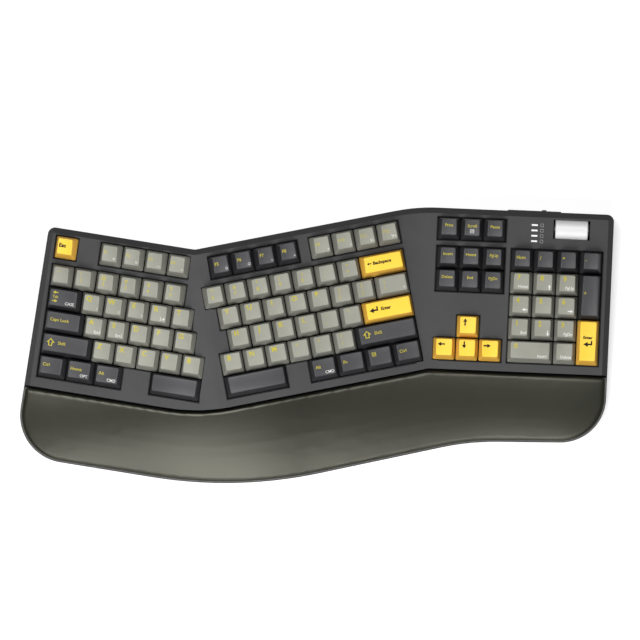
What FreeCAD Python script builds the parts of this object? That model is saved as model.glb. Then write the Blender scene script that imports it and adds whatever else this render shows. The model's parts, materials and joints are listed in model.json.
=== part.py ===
"""Split ergonomic keyboard with a tented deck, full keypad and padded palm rest.

The deck is one surface folded along two parallel lines: a ridge between the two letter
blocks and a shallow valley before the navigation keys. Three key blocks lie on it, each
turned in plan. Every key cap, switch, plate and board takes its place from its block.
X runs to the right, Y to the rear and Z up. Millimetres and degrees.
"""
import FreeCAD, Part
import Sketcher
import math
import os

Vector = FreeCAD.Vector

# Driving dimensions
SIZES = [
    # key field
    ("key_pitch", 19.05),
    ("key_gap", 0.95),
    ("cap_wall", 1.3),
    ("cap_roof", 1.5),
    ("cap_draft_height", 8.5),
    ("cap_side_inset", 3.0),
    ("cap_rear_inset", 0.9),
    ("cap_front_inset", 3.2),
    ("cap_dish", 0.5),
    ("space_crown", 0.8),
    ("function_row_rise", 0.25),
    ("key_travel", 4.0),
    # cap height and top tilt of each row
    ("number_cap_height", 9.4),
    ("number_cap_tilt", 6.0),
    ("upper_cap_height", 8.6),
    ("upper_cap_tilt", 4.0),
    ("home_cap_height", 7.9),
    ("home_cap_tilt", 1.5),
    ("lower_cap_height", 7.8),
    ("lower_cap_tilt", -1.5),
    ("bottom_cap_height", 7.8),
    ("bottom_cap_tilt", -2.5),
    # switches and what carries them
    ("skirt_below_deck", 1.0),
    ("skirt_above_plate", 6.2),
    ("plate_thickness", 1.5),
    ("board_below_plate", 5.0),
    ("board_thickness", 1.6),
    ("housing_width", 13.9),
    ("housing_top_width", 10.6),
    ("housing_clear", 0.2),
    ("stem_width", 5.5),
    ("stem_engagement", 1.2),
    ("stem_clearance", 0.08),
    ("fit_gap", 0.05),
    ("stabilizer_offset", 11.9),
    ("stabilizer_stem", 3.6),
    ("stabilizer_width", 6.6),
    ("stabilizer_depth", 11.0),
    ("stabilizer_side_draft", 1.0),
    ("stabilizer_end_draft", 3.0),
    # folded deck
    ("deck_level", 21.5),
    ("fold_angle", 4.9),
    ("typing_slope", 4.0),
    ("ridge_place", -92.85),
    ("middle_block_room", 11.95),
    ("left_tent", 8.83),
    ("middle_tent", 6.53),
    ("ridge_radius", 60.0),
    ("valley_radius", 150.0),
    # key blocks: rear left corner of the number row and turn in plan
    ("left_block_x", -219.37),
    ("left_block_y", 67.9),
    ("left_block_turn", -9.1),
    ("middle_block_x", -96.07),
    ("middle_block_y", 47.75),
    ("middle_block_turn", 11.0),
    ("right_block_inset", 9.08),
    ("right_block_y", 83.05),
    ("right_block_turn", -2.4),
    # deck border round the key blocks
    ("rear_left_margin", 6.3),
    ("left_margin", 9.2),
    ("left_side_turn", -0.8),
    ("rear_middle_margin", 8.2),
    ("rear_right_margin", 7.6),
    ("right_margin", 8.1),
    ("front_left_margin", 8.55),
    ("front_middle_margin", 6.8),
    ("front_right_margin", 7.3),
    ("rear_corner_radius", 6.0),
    ("notch_radius", 9.0),
    ("bulge_radius", 150.0),
    ("seam_low_radius", 155.0),
    ("seam_high_radius", 8.0),
    # palm rest
    ("palm_depth_left", 59.0),
    ("palm_depth_middle", 66.7),
    ("palm_depth_right", 56.4),
    ("palm_middle_turn", 0.9),
    ("palm_right_turn", 1.7),
    ("palm_left_radius", 39.5),
    ("palm_right_radius", 38.0),
    ("palm_low_radius", 380.0),
    ("palm_high_radius", 215.0),
    ("palm_gap", 0.6),
    ("palm_step_down", 0.8),
    ("palm_front_height", 14.5),
    ("palm_front_share", 0.55),
    ("palm_crown", 2.2),
    ("palm_section_overrun", 6.0),
    ("cushion_thickness", 5.5),
    ("cushion_edge_reach", 4.0),
    ("cushion_shoulder", 1.8),
    ("cushion_upper_shoulder", 0.7),
    ("cushion_lap", 0.8),
    ("cushion_seat_gap", 0.2),
    # case
    ("foot_height", 1.5),
    ("floor_thickness", 2.2),
    ("wall", 2.5),
    ("split_level", 8.0),
    ("rim_bevel", 4.6),
    ("well_margin", 0.55),
    ("plate_edge_gap", 0.4),
    ("board_edge_inset", 4.9),
    ("fold_gap", 0.5),
    ("post_width", 3.2),
    ("post_edge_gap", 0.3),
    ("first_post_share", 0.25),
    ("second_post_share", 0.6),
    ("boss_width", 8.0),
    ("column_width", 7.0),
    # screws
    ("screw_radius", 1.4),
    ("screw_hole_radius", 1.6),
    ("screw_length", 13.0),
    ("palm_screw_length", 8.5),
    ("screw_tip_gap", 0.3),
    ("screw_head_radius", 2.8),
    ("screw_head_height", 1.6),
    ("screw_head_gap", 0.3),
    ("palm_screw_left_reach", 95.0),
    ("palm_screw_middle_reach", 95.0),
    ("palm_screw_right_reach", 75.0),
    # rubber feet
    ("foot_radius", 6.0),
    ("foot_depth_share", 0.7),
    ("foot_middle_depth_share", 0.8),
    # tilt feet
    ("tilt_foot_width", 26.0),
    ("tilt_foot_length", 18.0),
    ("tilt_barrel_radius", 2.2),
    ("tilt_pin_radius", 1.4),
    ("tilt_pin_length", 2.0),
    ("tilt_pin_gap", 0.05),
    ("tilt_pocket_gap", 0.5),
    ("tilt_axis_height", 4.0),
    ("tilt_left_units", 3.6),
    ("tilt_right_units", 4.4),
    ("tilt_rear_units", 0.9),
    # roller, measured in the right block from its rear left corner
    ("roller_x", 111.3),
    ("roller_y", 17.3),
    ("roller_length", 27.0),
    ("roller_radius", 9.5),
    ("roller_depth", 6.2),
    ("roller_bevel", 0.6),
    ("roller_slot_length", 30.4),
    ("roller_slot_width", 15.4),
    ("roller_pin_radius", 1.5),
    ("roller_pin_gap", 0.05),
    ("roller_side_gap", 0.6),
    ("roller_clear_side", 3.3),
    ("bracket_ear", 1.8),
    ("bracket_width", 9.0),
    ("bracket_base", 1.6),
    # indicator lamps
    ("lamp_x", 80.5),
    ("lamp_y", 6.8),
    ("lamp_pitch", 4.47),
    ("lamp_length", 5.0),
    ("lamp_width", 1.4),
    ("lamp_height", 3.0),
    # ports in the rear wall, along the right block
    ("ledge_start", 58.1),
    ("ledge_end", 102.0),
    ("ledge_reach", 0.8),
    ("ledge_bottom", 9.0),
    ("ledge_top", 20.0),
    ("port_level", 14.0),
    ("socket_place", 69.0),
    ("socket_width", 8.9),
    ("socket_height", 3.2),
    ("socket_depth", 7.3),
    ("socket_shell", 0.3),
    ("socket_tongue", 0.7),
    ("socket_hole_gap", 0.35),
    ("switch_place", 90.2),
    ("knob_width", 3.6),
    ("knob_height", 2.6),
    ("knob_reach", 0.9),
    ("knob_flange_width", 10.0),
    ("knob_flange_height", 5.0),
    ("knob_flange_depth", 1.2),
    ("knob_travel", 4.0),
    ("knob_gap", 0.3),
    # battery
    ("battery_length", 62.0),
    ("battery_width", 42.0),
    ("battery_height", 5.5),
    ("battery_corner", 1.2),
    ("battery_x", 0.0),
    ("battery_y", 30.0),
    ("battery_seat_gap", 0.2),
]

doc = FreeCAD.newDocument("ergonomic_keyboard")
sheet = doc.addObject("Spreadsheet::Sheet", "sizes")
for row_number, (alias, value) in enumerate(SIZES, start=1):
    sheet.set("A%d" % row_number, alias)
    sheet.set("B%d" % row_number, str(value))
    sheet.setAlias("B%d" % row_number, alias)
doc.recompute()


def size(alias):
    """Value of a driving dimension."""
    return float(sheet.get(alias))


PITCH = size("key_pitch")
WALL = size("wall")
BASE_LEVEL = size("foot_height")
FLOOR_LEVEL = BASE_LEVEL + size("floor_thickness")
SPLIT = size("split_level")
PLATE_DEPTH = size("skirt_below_deck") + size("skirt_above_plate")
BOARD_DEPTH = PLATE_DEPTH + size("board_below_plate")
HOLE_OVERRUN = 20.0
DECK_CUT_DEPTH = WALL + 3.0
MIDDLE_UNITS = 9
VALLEY = size("ridge_place") + MIDDLE_UNITS * PITCH + size("middle_block_room")
ABOVE_ALL = 120.0
BELOW_ALL = -80.0
FAR = 320.0
PALM_SECTIONS = 9
TOP_STRIPS = 3
UPWARD = 0.9
UPRIGHT = 0.2
SEAM_REACH = 2.0
HAIR = 0.01


# Folded deck

def tangent(alias):
    return math.tan(math.radians(size(alias)))


def deck_direction():
    """Direction in which the deck's front view is drawn out, up its slope to the rear."""
    fold = math.radians(size("fold_angle"))
    slope = math.radians(size("typing_slope"))
    return Vector(-math.sin(fold) * math.cos(slope), math.cos(fold) * math.cos(slope), math.sin(slope))


def ridge_level():
    return size("deck_level") + (VALLEY - size("ridge_place")) * tangent("middle_tent")


def rounded_wire(corners, place):
    """Closed wire through (x, y, radius) corners, with an arc at each corner that has a radius."""
    count = len(corners)
    starts = []
    ends = []
    middles = []
    for index in range(count):
        x, y, radius = corners[index]
        corner = Vector(x, y, 0)
        before = Vector(corners[index - 1][0], corners[index - 1][1], 0)
        after = Vector(corners[(index + 1) % count][0], corners[(index + 1) % count][1], 0)
        if radius <= 0:
            starts.append(corner)
            ends.append(corner)
            middles.append(None)
            continue
        to_before = (before - corner).normalize()
        to_after = (after - corner).normalize()
        half = to_before.getAngle(to_after) / 2
        reach = radius / math.tan(half)
        starts.append(corner + to_before * reach)
        ends.append(corner + to_after * reach)
        inward = (to_before + to_after).normalize()
        middles.append(corner + inward * (radius / math.sin(half) - radius))
    edges = []
    for index in range(count):
        if middles[index] is not None:
            arc = Part.Arc(place(starts[index]), place(middles[index]), place(ends[index]))
            edges.append(arc.toShape())
        following = (index + 1) % count
        if (starts[following] - ends[index]).Length > 1e-6:
            edges.append(Part.LineSegment(place(ends[index]), place(starts[following])).toShape())
    return Part.Wire(edges)


def under_deck(drop):
    """Everything that lies more than drop under the deck."""
    top = ridge_level() - drop
    ridge = size("ridge_place")
    valley = VALLEY
    level = size("deck_level") - drop
    corners = [
        (-FAR, top - (ridge + FAR) * tangent("left_tent"), 0),
        (ridge, top, size("ridge_radius")),
        (valley, level, size("valley_radius")),
        (FAR, level, 0),
        (FAR, BELOW_ALL, 0),
        (-FAR, BELOW_ALL, 0),
    ]
    face = Part.Face(rounded_wire(corners, lambda point: Vector(point.x, 0, point.y)))
    direction = deck_direction()
    face.translate(direction * -FAR)
    return face.extrude(direction * (2 * FAR))


def beside_fold(place, side):
    """Everything on one side (-1 left, 1 right) of an upright plane through a fold line."""
    fold = math.radians(size("fold_angle"))
    along = Vector(-math.sin(fold), math.cos(fold), 0)
    across = Vector(math.cos(fold), math.sin(fold), 0)
    start = Vector(place, 0, BELOW_ALL) + across * (side * size("fold_gap"))
    corners = [
        start - along * FAR,
        start + along * FAR,
        start + along * FAR + across * (side * 2 * FAR),
        start - along * FAR + across * (side * 2 * FAR),
    ]
    face = Part.Face(Part.makePolygon(corners + corners[:1]))
    return face.extrude(Vector(0, 0, ABOVE_ALL - BELOW_ALL))


# Key blocks

class Block:
    """A flat part of the deck with its own frame: x along the rows, y to the rear, z out."""

    def __init__(self, name, plan_x, gradient_x, level_point):
        self.name = name
        fold = math.radians(size("fold_angle"))
        gradient_y = (tangent("typing_slope") + gradient_x * math.sin(fold)) / math.cos(fold)
        self.gradient = (gradient_x, gradient_y)
        self.level_point = level_point
        turn = math.radians(size(name + "_block_turn"))
        x_direction = Vector(math.cos(turn), math.sin(turn), 0)
        x_direction.z = gradient_x * x_direction.x + gradient_y * x_direction.y
        normal = Vector(-gradient_x, -gradient_y, 1)
        rotation = FreeCAD.Rotation(x_direction, Vector(0, 0, 0), normal, "ZXY")
        plan_y = size(name + "_block_y")
        self.placement = FreeCAD.Placement(Vector(plan_x, plan_y, self.height(plan_x, plan_y)), rotation)

    def height(self, plan_x, plan_y):
        base_x, base_z = self.level_point
        return base_z + self.gradient[0] * (plan_x - base_x) + self.gradient[1] * plan_y

    def point(self, x, y, z=0.0):
        return self.placement.multVec(Vector(x, y, z))

    def place(self, shape):
        placed = shape.copy()
        placed.Placement = self.placement.multiply(placed.Placement)
        return placed

    def under(self, depth):
        """Everything deeper than depth under this part of the deck."""
        corner = Vector(-2 * FAR, -2 * FAR, -2 * FAR - depth)
        return self.place(Part.makeBox(4 * FAR, 4 * FAR, 2 * FAR, corner))

    def layer(self, depth, thickness):
        """Unbounded flat layer that starts at depth and goes down by thickness."""
        corner = Vector(-2 * FAR, -2 * FAR, -depth - thickness)
        return self.place(Part.makeBox(4 * FAR, 4 * FAR, thickness, corner))


on_ridge = (size("ridge_place"), ridge_level())
left_block = Block("left", size("left_block_x"), tangent("left_tent"), on_ridge)
middle_block = Block("middle", size("middle_block_x"), -tangent("middle_tent"), on_ridge)
right_block_x = VALLEY + size("right_block_inset")
right_block = Block("right", right_block_x, 0.0, (VALLEY, size("deck_level")))
BLOCKS = [left_block, middle_block, right_block]

# Rows: place of the row's rear edge in key units, and whose cap height and top tilt it has
FUNCTION_ROW = -1.0 - size("function_row_rise")
ROWS = {
    "function": (FUNCTION_ROW, "number"),
    "number": (0, "number"),
    "upper": (1, "upper"),
    "home": (2, "home"),
    "lower": (3, "lower"),
    "bottom": (4, "bottom"),
}

# Each key: left edge in key units, row, and width and depth in key units
KEYS = {
    "key_escape": (left_block, [(0, "function", 1, 1)]),
    "function_keys_left": (left_block, [(2 + n, "function", 1, 1) for n in range(4)]),
    "number_keys_left": (left_block, [(n, "number", 1, 1) for n in range(6)]),
    "key_tab": (left_block, [(0, "upper", 1.5, 1)]),
    "letter_keys_top_left": (left_block, [(1.5 + n, "upper", 1, 1) for n in range(5)]),
    "key_caps_lock": (left_block, [(0, "home", 1.75, 1)]),
    "letter_keys_home_left": (left_block, [(1.75 + n, "home", 1, 1) for n in range(5)]),
    "key_shift_left": (left_block, [(0, "lower", 2.25, 1)]),
    "letter_keys_low_left": (left_block, [(2.25 + n, "lower", 1, 1) for n in range(5)]),
    "modifier_keys_left": (left_block, [(1.25 * n, "bottom", 1.25, 1) for n in range(3)]),
    "key_space_left": (left_block, [(5, "bottom", 2.25, 1)]),
    "function_keys_middle": (middle_block, [(0.5 + n, "function", 1, 1) for n in range(4)]),
    "function_keys_right": (middle_block, [(5 + n, "function", 1, 1) for n in range(4)]),
    "number_keys_right": (middle_block, [(n, "number", 1, 1) for n in range(7)]),
    "key_backspace": (middle_block, [(7, "number", 2, 1)]),
    "letter_keys_top_right": (middle_block, [(0.5 + n, "upper", 1, 1) for n in range(7)]),
    "key_backslash": (middle_block, [(7.5, "upper", 1.5, 1)]),
    "letter_keys_home_right": (middle_block, [(0.75 + n, "home", 1, 1) for n in range(6)]),
    "key_enter": (middle_block, [(6.75, "home", 2.25, 1)]),
    "letter_keys_low_right": (middle_block, [(0.25 + n, "lower", 1, 1) for n in range(6)]),
    "key_shift_right": (middle_block, [(6.25, "lower", 2.75, 1)]),
    "key_space_right": (middle_block, [(0.25, "bottom", 2.75, 1)]),
    "modifier_keys_right": (middle_block, [(4 + 1.25 * n, "bottom", 1.25, 1) for n in range(4)]),
    "system_keys": (right_block, [(n, "function", 1, 1) for n in range(3)]),
    "edit_keys_upper": (right_block, [(n, "number", 1, 1) for n in range(3)]),
    "edit_keys_lower": (right_block, [(n, "upper", 1, 1) for n in range(3)]),
    "key_arrow_up": (right_block, [(1, "lower", 1, 1)]),
    "key_arrow_left": (right_block, [(0, "bottom", 1, 1)]),
    "key_arrow_down": (right_block, [(1, "bottom", 1, 1)]),
    "key_arrow_right": (right_block, [(2, "bottom", 1, 1)]),
    "pad_operator_keys": (right_block, [(3.25 + n, "number", 1, 1) for n in range(4)]),
    "pad_keys_upper": (right_block, [(3.25 + n, "upper", 1, 1) for n in range(3)]),
    "pad_keys_middle": (right_block, [(3.25 + n, "home", 1, 1) for n in range(3)]),
    "pad_keys_lower": (right_block, [(3.25 + n, "lower", 1, 1) for n in range(3)]),
    "key_pad_plus": (right_block, [(6.25, "upper", 1, 2)]),
    "key_pad_enter": (right_block, [(6.25, "lower", 1, 2)]),
    "key_pad_zero": (right_block, [(3.25, "bottom", 2, 1)]),
    "key_pad_point": (right_block, [(5.25, "bottom", 1, 1)]),
}
SPACE_KEYS = ("key_space_left", "key_space_right")

# Runs of keys that share one opening in the deck: left, rear, right and front edges
WELLS = {
    "left": [
        (0, FUNCTION_ROW, 1, FUNCTION_ROW + 1),
        (2, FUNCTION_ROW, 6, FUNCTION_ROW + 1),
        (0, 0, 6, 1),
        (0, 1, 6.5, 2),
        (0, 2, 6.75, 3),
        (0, 3, 7.25, 4),
        (0, 4, 3.75, 5),
        (5, 4, 7.25, 5),
    ],
    "middle": [
        (0.5, FUNCTION_ROW, 4.5, FUNCTION_ROW + 1),
        (5, FUNCTION_ROW, 9, FUNCTION_ROW + 1),
        (0, 0, 9, 1),
        (0.5, 1, 9, 2),
        (0.75, 2, 9, 3),
        (0.25, 3, 9, 4),
        (0.25, 4, 3, 5),
        (4, 4, 9, 5),
    ],
    "right": [
        (0, FUNCTION_ROW, 3, FUNCTION_ROW + 1),
        (0, 0, 3, 2),
        (1, 3, 2, 4),
        (0, 4, 3, 5),
        (3.25, 0, 7.25, 5),
    ],
}


def rectangle(low_x, low_y, high_x, high_y, z):
    return [
        Vector(low_x, low_y, z),
        Vector(high_x, low_y, z),
        Vector(high_x, high_y, z),
        Vector(low_x, high_y, z),
    ]


def polygon_face(corners):
    return Part.Face(Part.makePolygon(corners + corners[:1]))


def frustum(bottom, top):
    """Solid with flat sides between two rectangles at different heights."""
    faces = [polygon_face(bottom), polygon_face(top)]
    for index in range(4):
        following = (index + 1) % 4
        faces.append(polygon_face([bottom[index], bottom[following], top[following], top[index]]))
    return Part.Solid(Part.Shell(faces))


def centred_box(width, depth, bottom, top, x=0.0, y=0.0):
    return Part.makeBox(width, depth, top - bottom, Vector(x - width / 2, y - depth / 2, bottom))


def cap_section(width, depth, height, inset):
    """Outline of a cap at a height over its skirt, drawn in by inset all round."""
    share = height / size("cap_draft_height")
    side = size("cap_side_inset") * share + inset
    rear = size("cap_rear_inset") * share + inset
    front = size("cap_front_inset") * share + inset
    return rectangle(-width / 2 + side, -depth / 2 + front, width / 2 - side, depth / 2 - rear, height)


def cap_trim(width, depth, height, tilt, crowned):
    """What is cut off above a cap's top: a shallow trough of flat strips, or a crown on a space key."""
    share = height / size("cap_draft_height")
    if crowned:
        chord = depth - (size("cap_rear_inset") + size("cap_front_inset")) * share
        rise = size("space_crown")
        length = width
    else:
        chord = width - 2 * size("cap_side_inset") * share
        rise = -size("cap_dish")
        length = depth
    roof = size("cap_draft_height")
    corners = []
    for number in range(TOP_STRIPS + 1):
        place = 2 * number / TOP_STRIPS - 1
        corners.append(Vector(place * chord / 2, 0, rise * (1 - place ** 2)))
    corners.extend([
        Vector(chord, 0, 0),
        Vector(chord, 0, roof),
        Vector(-chord, 0, roof),
        Vector(-chord, 0, 0),
    ])
    face = polygon_face(corners)
    face.translate(Vector(0, -length, 0))
    trim = face.extrude(Vector(0, 2 * length, 0))
    if crowned:
        trim.rotate(Vector(0, 0, 0), Vector(0, 0, 1), 90)
    rear_shift = (size("cap_front_inset") - size("cap_rear_inset")) * share / 2
    trim.rotate(Vector(0, 0, 0), Vector(1, 0, 0), tilt)
    trim.translate(Vector(0, rear_shift, height))
    return trim


def stabilized_offsets(width_units, depth_units):
    """Places of the two outer stems of a long key, from its middle."""
    offset = size("stabilizer_offset")
    if width_units >= 2:
        return [(-offset, 0.0), (offset, 0.0)]
    if depth_units >= 2:
        return [(0.0, -offset), (0.0, offset)]
    return []


def key_cap(width_units, depth_units, row_name, crowned):
    """Hollow cap with its stem, its skirt at z 0."""
    width = width_units * PITCH - size("key_gap")
    depth = depth_units * PITCH - size("key_gap")
    height = size(row_name + "_cap_height")
    tilt = size(row_name + "_cap_tilt")
    blank = height + size("cap_roof") + size("space_crown")
    outer = frustum(cap_section(width, depth, 0, 0), cap_section(width, depth, blank, 0))
    outer = outer.cut(cap_trim(width, depth, height, tilt, crowned))
    slant = depth / 2 * abs(math.tan(math.radians(tilt)))
    roof = height - size("cap_roof") - size("cap_dish") - slant
    wall = size("cap_wall")
    hollow = frustum(cap_section(width, depth, 0, wall), cap_section(width, depth, roof, wall))
    cap = outer.cut(hollow)
    engagement = size("stem_engagement")
    stem = size("stem_width")
    posts = [centred_box(stem, stem, -engagement, roof + wall / 2)]
    outer_stem = size("stabilizer_stem")
    for x, y in stabilized_offsets(width_units, depth_units):
        posts.append(centred_box(outer_stem, outer_stem, -engagement, roof + wall / 2, x, y))
    return cap.fuse(posts).removeSplitter()


def housing(stem, width, depth, top_width, top_depth):
    """Switch or stabilizer housing with the guide that its stem slides in, skirt level at z 0."""
    plate = -size("skirt_above_plate")
    top = -size("housing_clear")
    bottom = plate - size("board_below_plate")
    lower = centred_box(width, depth, bottom, plate)
    upper = frustum(
        rectangle(-width / 2, -depth / 2, width / 2, depth / 2, plate),
        rectangle(-top_width / 2, -top_depth / 2, top_width / 2, top_depth / 2, top),
    )
    guide = stem + 2 * size("stem_clearance")
    guide_bottom = -size("stem_engagement") - size("key_travel") - size("housing_clear")
    hollow = centred_box(guide, guide, guide_bottom, top + 1)
    return lower.fuse(upper).removeSplitter().cut(hollow)


def key_centre(key):
    left, row, width, depth = key
    return (left + width / 2) * PITCH, -(ROWS[row][0] + depth / 2) * PITCH


def add_part(label, shape):
    """Sub-part whose shape is worked out from the sheet."""
    feature = doc.addObject("Part::Feature", label)
    feature.Shape = shape
    feature.Label = label
    return feature


def gather(solids):
    """One solid by itself, or a group of separate solids."""
    return solids[0] if len(solids) == 1 else Part.makeCompound(solids)


cap_shapes = {}


def cached_cap(width_units, depth_units, row_name, crowned):
    kind = (width_units, depth_units, row_name, crowned)
    if kind not in cap_shapes:
        cap_shapes[kind] = key_cap(*kind)
    return cap_shapes[kind]


nodes = []

# Key caps
for node, (block, keys) in KEYS.items():
    caps = []
    for key in keys:
        cap = cached_cap(key[2], key[3], ROWS[key[1]][1], node in SPACE_KEYS).copy()
        x, y = key_centre(key)
        cap.translate(Vector(x, y, -size("skirt_below_deck")))
        caps.append(block.place(cap))
    nodes.append(add_part(node, gather(caps)))

# Switches and stabilizers
switch = housing(
    size("stem_width"),
    size("housing_width"),
    size("housing_width"),
    size("housing_top_width"),
    size("housing_top_width"),
)
stabilizer_across = housing(
    size("stabilizer_stem"),
    size("stabilizer_width"),
    size("stabilizer_depth"),
    size("stabilizer_width") - size("stabilizer_side_draft"),
    size("stabilizer_depth") - size("stabilizer_end_draft"),
)
switch_places = {block.name: [] for block in BLOCKS}
stabilizer_places = {block.name: [] for block in BLOCKS}
for block, keys in KEYS.values():
    for key in keys:
        x, y = key_centre(key)
        switch_places[block.name].append((x, y))
        for shift_x, shift_y in stabilized_offsets(key[2], key[3]):
            stabilizer_places[block.name].append((x + shift_x, y + shift_y, shift_y != 0))

housings = []
stabilizers = []
for block in BLOCKS:
    for x, y in switch_places[block.name]:
        body = switch.copy()
        body.translate(Vector(x, y, -size("skirt_below_deck")))
        housings.append(block.place(body))
    for x, y, upright in stabilizer_places[block.name]:
        body = stabilizer_across.copy()
        if upright:
            body.rotate(Vector(0, 0, 0), Vector(0, 0, 1), 90)
        body.translate(Vector(x, y, -size("skirt_below_deck")))
        stabilizers.append(block.place(body))
nodes.append(add_part("switch_housings", Part.makeCompound(housings)))
nodes.append(add_part("stabilizer_housings", Part.makeCompound(stabilizers)))


# Plan outline

def offset_line(block, start, end, margin):
    """Plan line through two block points, moved outwards (to the left of its direction)."""
    first = block.point(*start)
    second = block.point(*end)
    along = Vector(second.x - first.x, second.y - first.y, 0).normalize()
    outward = Vector(-along.y, along.x, 0)
    return Vector(first.x, first.y, 0) + outward * margin, along


def meeting(line_a, line_b):
    point_a, along_a = line_a
    point_b, along_b = line_b
    cross = along_a.x * along_b.y - along_a.y * along_b.x
    gap = point_b - point_a
    reach = (gap.x * along_b.y - gap.y * along_b.x) / cross
    return point_a + along_a * reach


def moved_line(line, distance, turn=0.0):
    """The same line moved to the left of its direction, and turned about its moved point."""
    point, along = line
    outward = Vector(-along.y, along.x, 0)
    angle = math.radians(turn)
    turned = Vector(
        along.x * math.cos(angle) - along.y * math.sin(angle),
        along.x * math.sin(angle) + along.y * math.cos(angle),
        0,
    )
    return point + outward * distance, turned


rear_row = -FUNCTION_ROW * PITCH
front_row = -5 * PITCH
left_width = 7.25 * PITCH
middle_width = MIDDLE_UNITS * PITCH
right_width = 7.25 * PITCH
rear_left = offset_line(left_block, (0, rear_row), (left_width, rear_row), size("rear_left_margin"))
rear_middle = offset_line(middle_block, (0, rear_row), (middle_width, rear_row), size("rear_middle_margin"))
rear_right = offset_line(right_block, (0, rear_row), (right_width, rear_row), size("rear_right_margin"))
right_side = offset_line(right_block, (right_width, rear_row), (right_width, front_row), size("right_margin"))
seam_right = offset_line(right_block, (right_width, front_row), (0, front_row), size("front_right_margin"))
seam_middle = offset_line(middle_block, (middle_width, front_row), (0, front_row), size("front_middle_margin"))
seam_left = offset_line(left_block, (left_width, front_row), (0, front_row), size("front_left_margin"))
left_edge = offset_line(left_block, (0, front_row), (0, rear_row), size("left_margin"))
left_side = moved_line(left_edge, 0, size("left_side_turn"))
palm_right = moved_line(seam_right, size("palm_depth_right"), size("palm_right_turn"))
palm_middle = moved_line(seam_middle, size("palm_depth_middle"), size("palm_middle_turn"))
palm_left = moved_line(seam_left, size("palm_depth_left"))


def outline(lines_and_radii, inset=0.0):
    """Closed plan outline from lines in clockwise order; each radius rounds the corner after its line."""
    lines = [moved_line(line, -inset) for line, radius, bend in lines_and_radii]
    corners = []
    for index, (line, radius, bend) in enumerate(lines_and_radii):
        point = meeting(lines[index], lines[(index + 1) % len(lines)])
        corners.append((point.x, point.y, max(radius - bend * inset, 0.0)))
    return corners


# Each border line, the radius of the corner after it, and 1 where that corner bends outwards
KEYBOARD_BORDER = [
    (rear_left, size("notch_radius"), -1),
    (rear_middle, size("bulge_radius"), 1),
    (rear_right, size("rear_corner_radius"), 1),
    (right_side, 0.0, 0),
    (seam_right, size("seam_high_radius"), -1),
    (seam_middle, size("seam_low_radius"), 1),
    (seam_left, 0.0, 0),
    (left_side, size("rear_corner_radius"), 1),
]
WHOLE_BORDER = KEYBOARD_BORDER[:2] + [
    (rear_right, size("rear_corner_radius"), 1),
    (right_side, size("palm_right_radius"), 1),
    (palm_right, size("palm_high_radius"), -1),
    (palm_middle, size("palm_low_radius"), 1),
    (palm_left, size("palm_left_radius"), 1),
    (left_side, size("rear_corner_radius"), 1),
]


def flipped(line):
    return line[0], line[1] * -1


def palm_border(gap):
    """Border of the palm rest, with its seam edge moved away from the case by gap."""
    return [
        (moved_line(flipped(seam_left), -gap), size("seam_low_radius"), -1),
        (moved_line(flipped(seam_middle), -gap), size("seam_high_radius"), 1),
        (moved_line(flipped(seam_right), -gap), 0.0, 0),
        (right_side, size("palm_right_radius"), 1),
        (palm_right, size("palm_high_radius"), -1),
        (palm_middle, size("palm_low_radius"), 1),
        (palm_left, size("palm_left_radius"), 1),
        (left_side, 0.0, 0),
    ]


def prism(corners, bottom, top):
    face = Part.Face(rounded_wire(corners, lambda point: Vector(point.x, point.y, bottom)))
    return face.extrude(Vector(0, 0, top - bottom))


def well_solid(block, depth, height):
    """The openings of one block as one solid or more, through the deck."""
    margin = size("well_margin") - size("key_gap") / 2
    boxes = []
    for left, rear, right, front in WELLS[block.name]:
        corner = Vector(left * PITCH - margin, -front * PITCH - margin, -depth)
        boxes.append(Part.makeBox(
            (right - left) * PITCH + 2 * margin,
            (front - rear) * PITCH + 2 * margin,
            depth + height,
            corner,
        ))
    return block.place(boxes[0].fuse(boxes[1:]).removeSplitter())


def along_seam(line, reach, depth):
    """Plan point of the palm rest, measured along a seam line and out from it."""
    point, along = line
    return point + along * reach + Vector(-along.y, along.x, 0) * depth


# Screws stand where no switch is, at points of the blocks or in the middle of the palm rest's depth
SCREW_PLACES = [
    left_block.point(1.5 * PITCH, 0.75 * PITCH),
    left_block.point(4.375 * PITCH, -4.5 * PITCH),
    middle_block.point(4.75 * PITCH, 0.75 * PITCH),
    middle_block.point(3.5 * PITCH, -4.5 * PITCH),
    right_block.point(0.5 * PITCH, -2.5 * PITCH),
    right_block.point(3.35 * PITCH, 0.6 * PITCH),
]
palm_screws = []
for line, name in ((seam_left, "left"), (seam_middle, "middle"), (seam_right, "right")):
    reach = size("palm_screw_%s_reach" % name)
    palm_screws.append(along_seam(line, reach, size("palm_depth_" + name) / 2))


def column(place, bottom, top, width):
    return centred_box(width, width, bottom, top, place.x, place.y)


def upright_cylinder(place, radius, bottom, top):
    return Part.makeCylinder(radius, top - bottom, Vector(place.x, place.y, bottom))


def screw_thread(place, length):
    """Blind hole that a screw of this length bites into, above the split."""
    tip = BASE_LEVEL + size("screw_head_gap") + length
    return upright_cylinder(place, size("screw_radius"), SPLIT - 1, tip + size("screw_tip_gap"))


# Roller and rear wall frames
roller_box = right_block.place(centred_box(
    size("roller_slot_length") + 2 * size("bracket_ear"),
    size("roller_slot_width") + 2 * size("roller_clear_side"),
    BELOW_ALL,
    0,
    size("roller_x"),
    size("roller_y"),
))
rear_point, rear_along = rear_right
rear_out = Vector(-rear_along.y, rear_along.x, 0)
rear_frame = FreeCAD.Placement(
    Vector(rear_point.x, rear_point.y, 0),
    FreeCAD.Rotation(rear_along, rear_out, Vector(0, 0, 1), "ZXY"),
)


def on_rear_wall(shape):
    """Shape drawn with x along the rear wall, y 0 at its outer face and z from the desk."""
    placed = shape.copy()
    placed.Placement = rear_frame.multiply(placed.Placement)
    return placed


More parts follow.
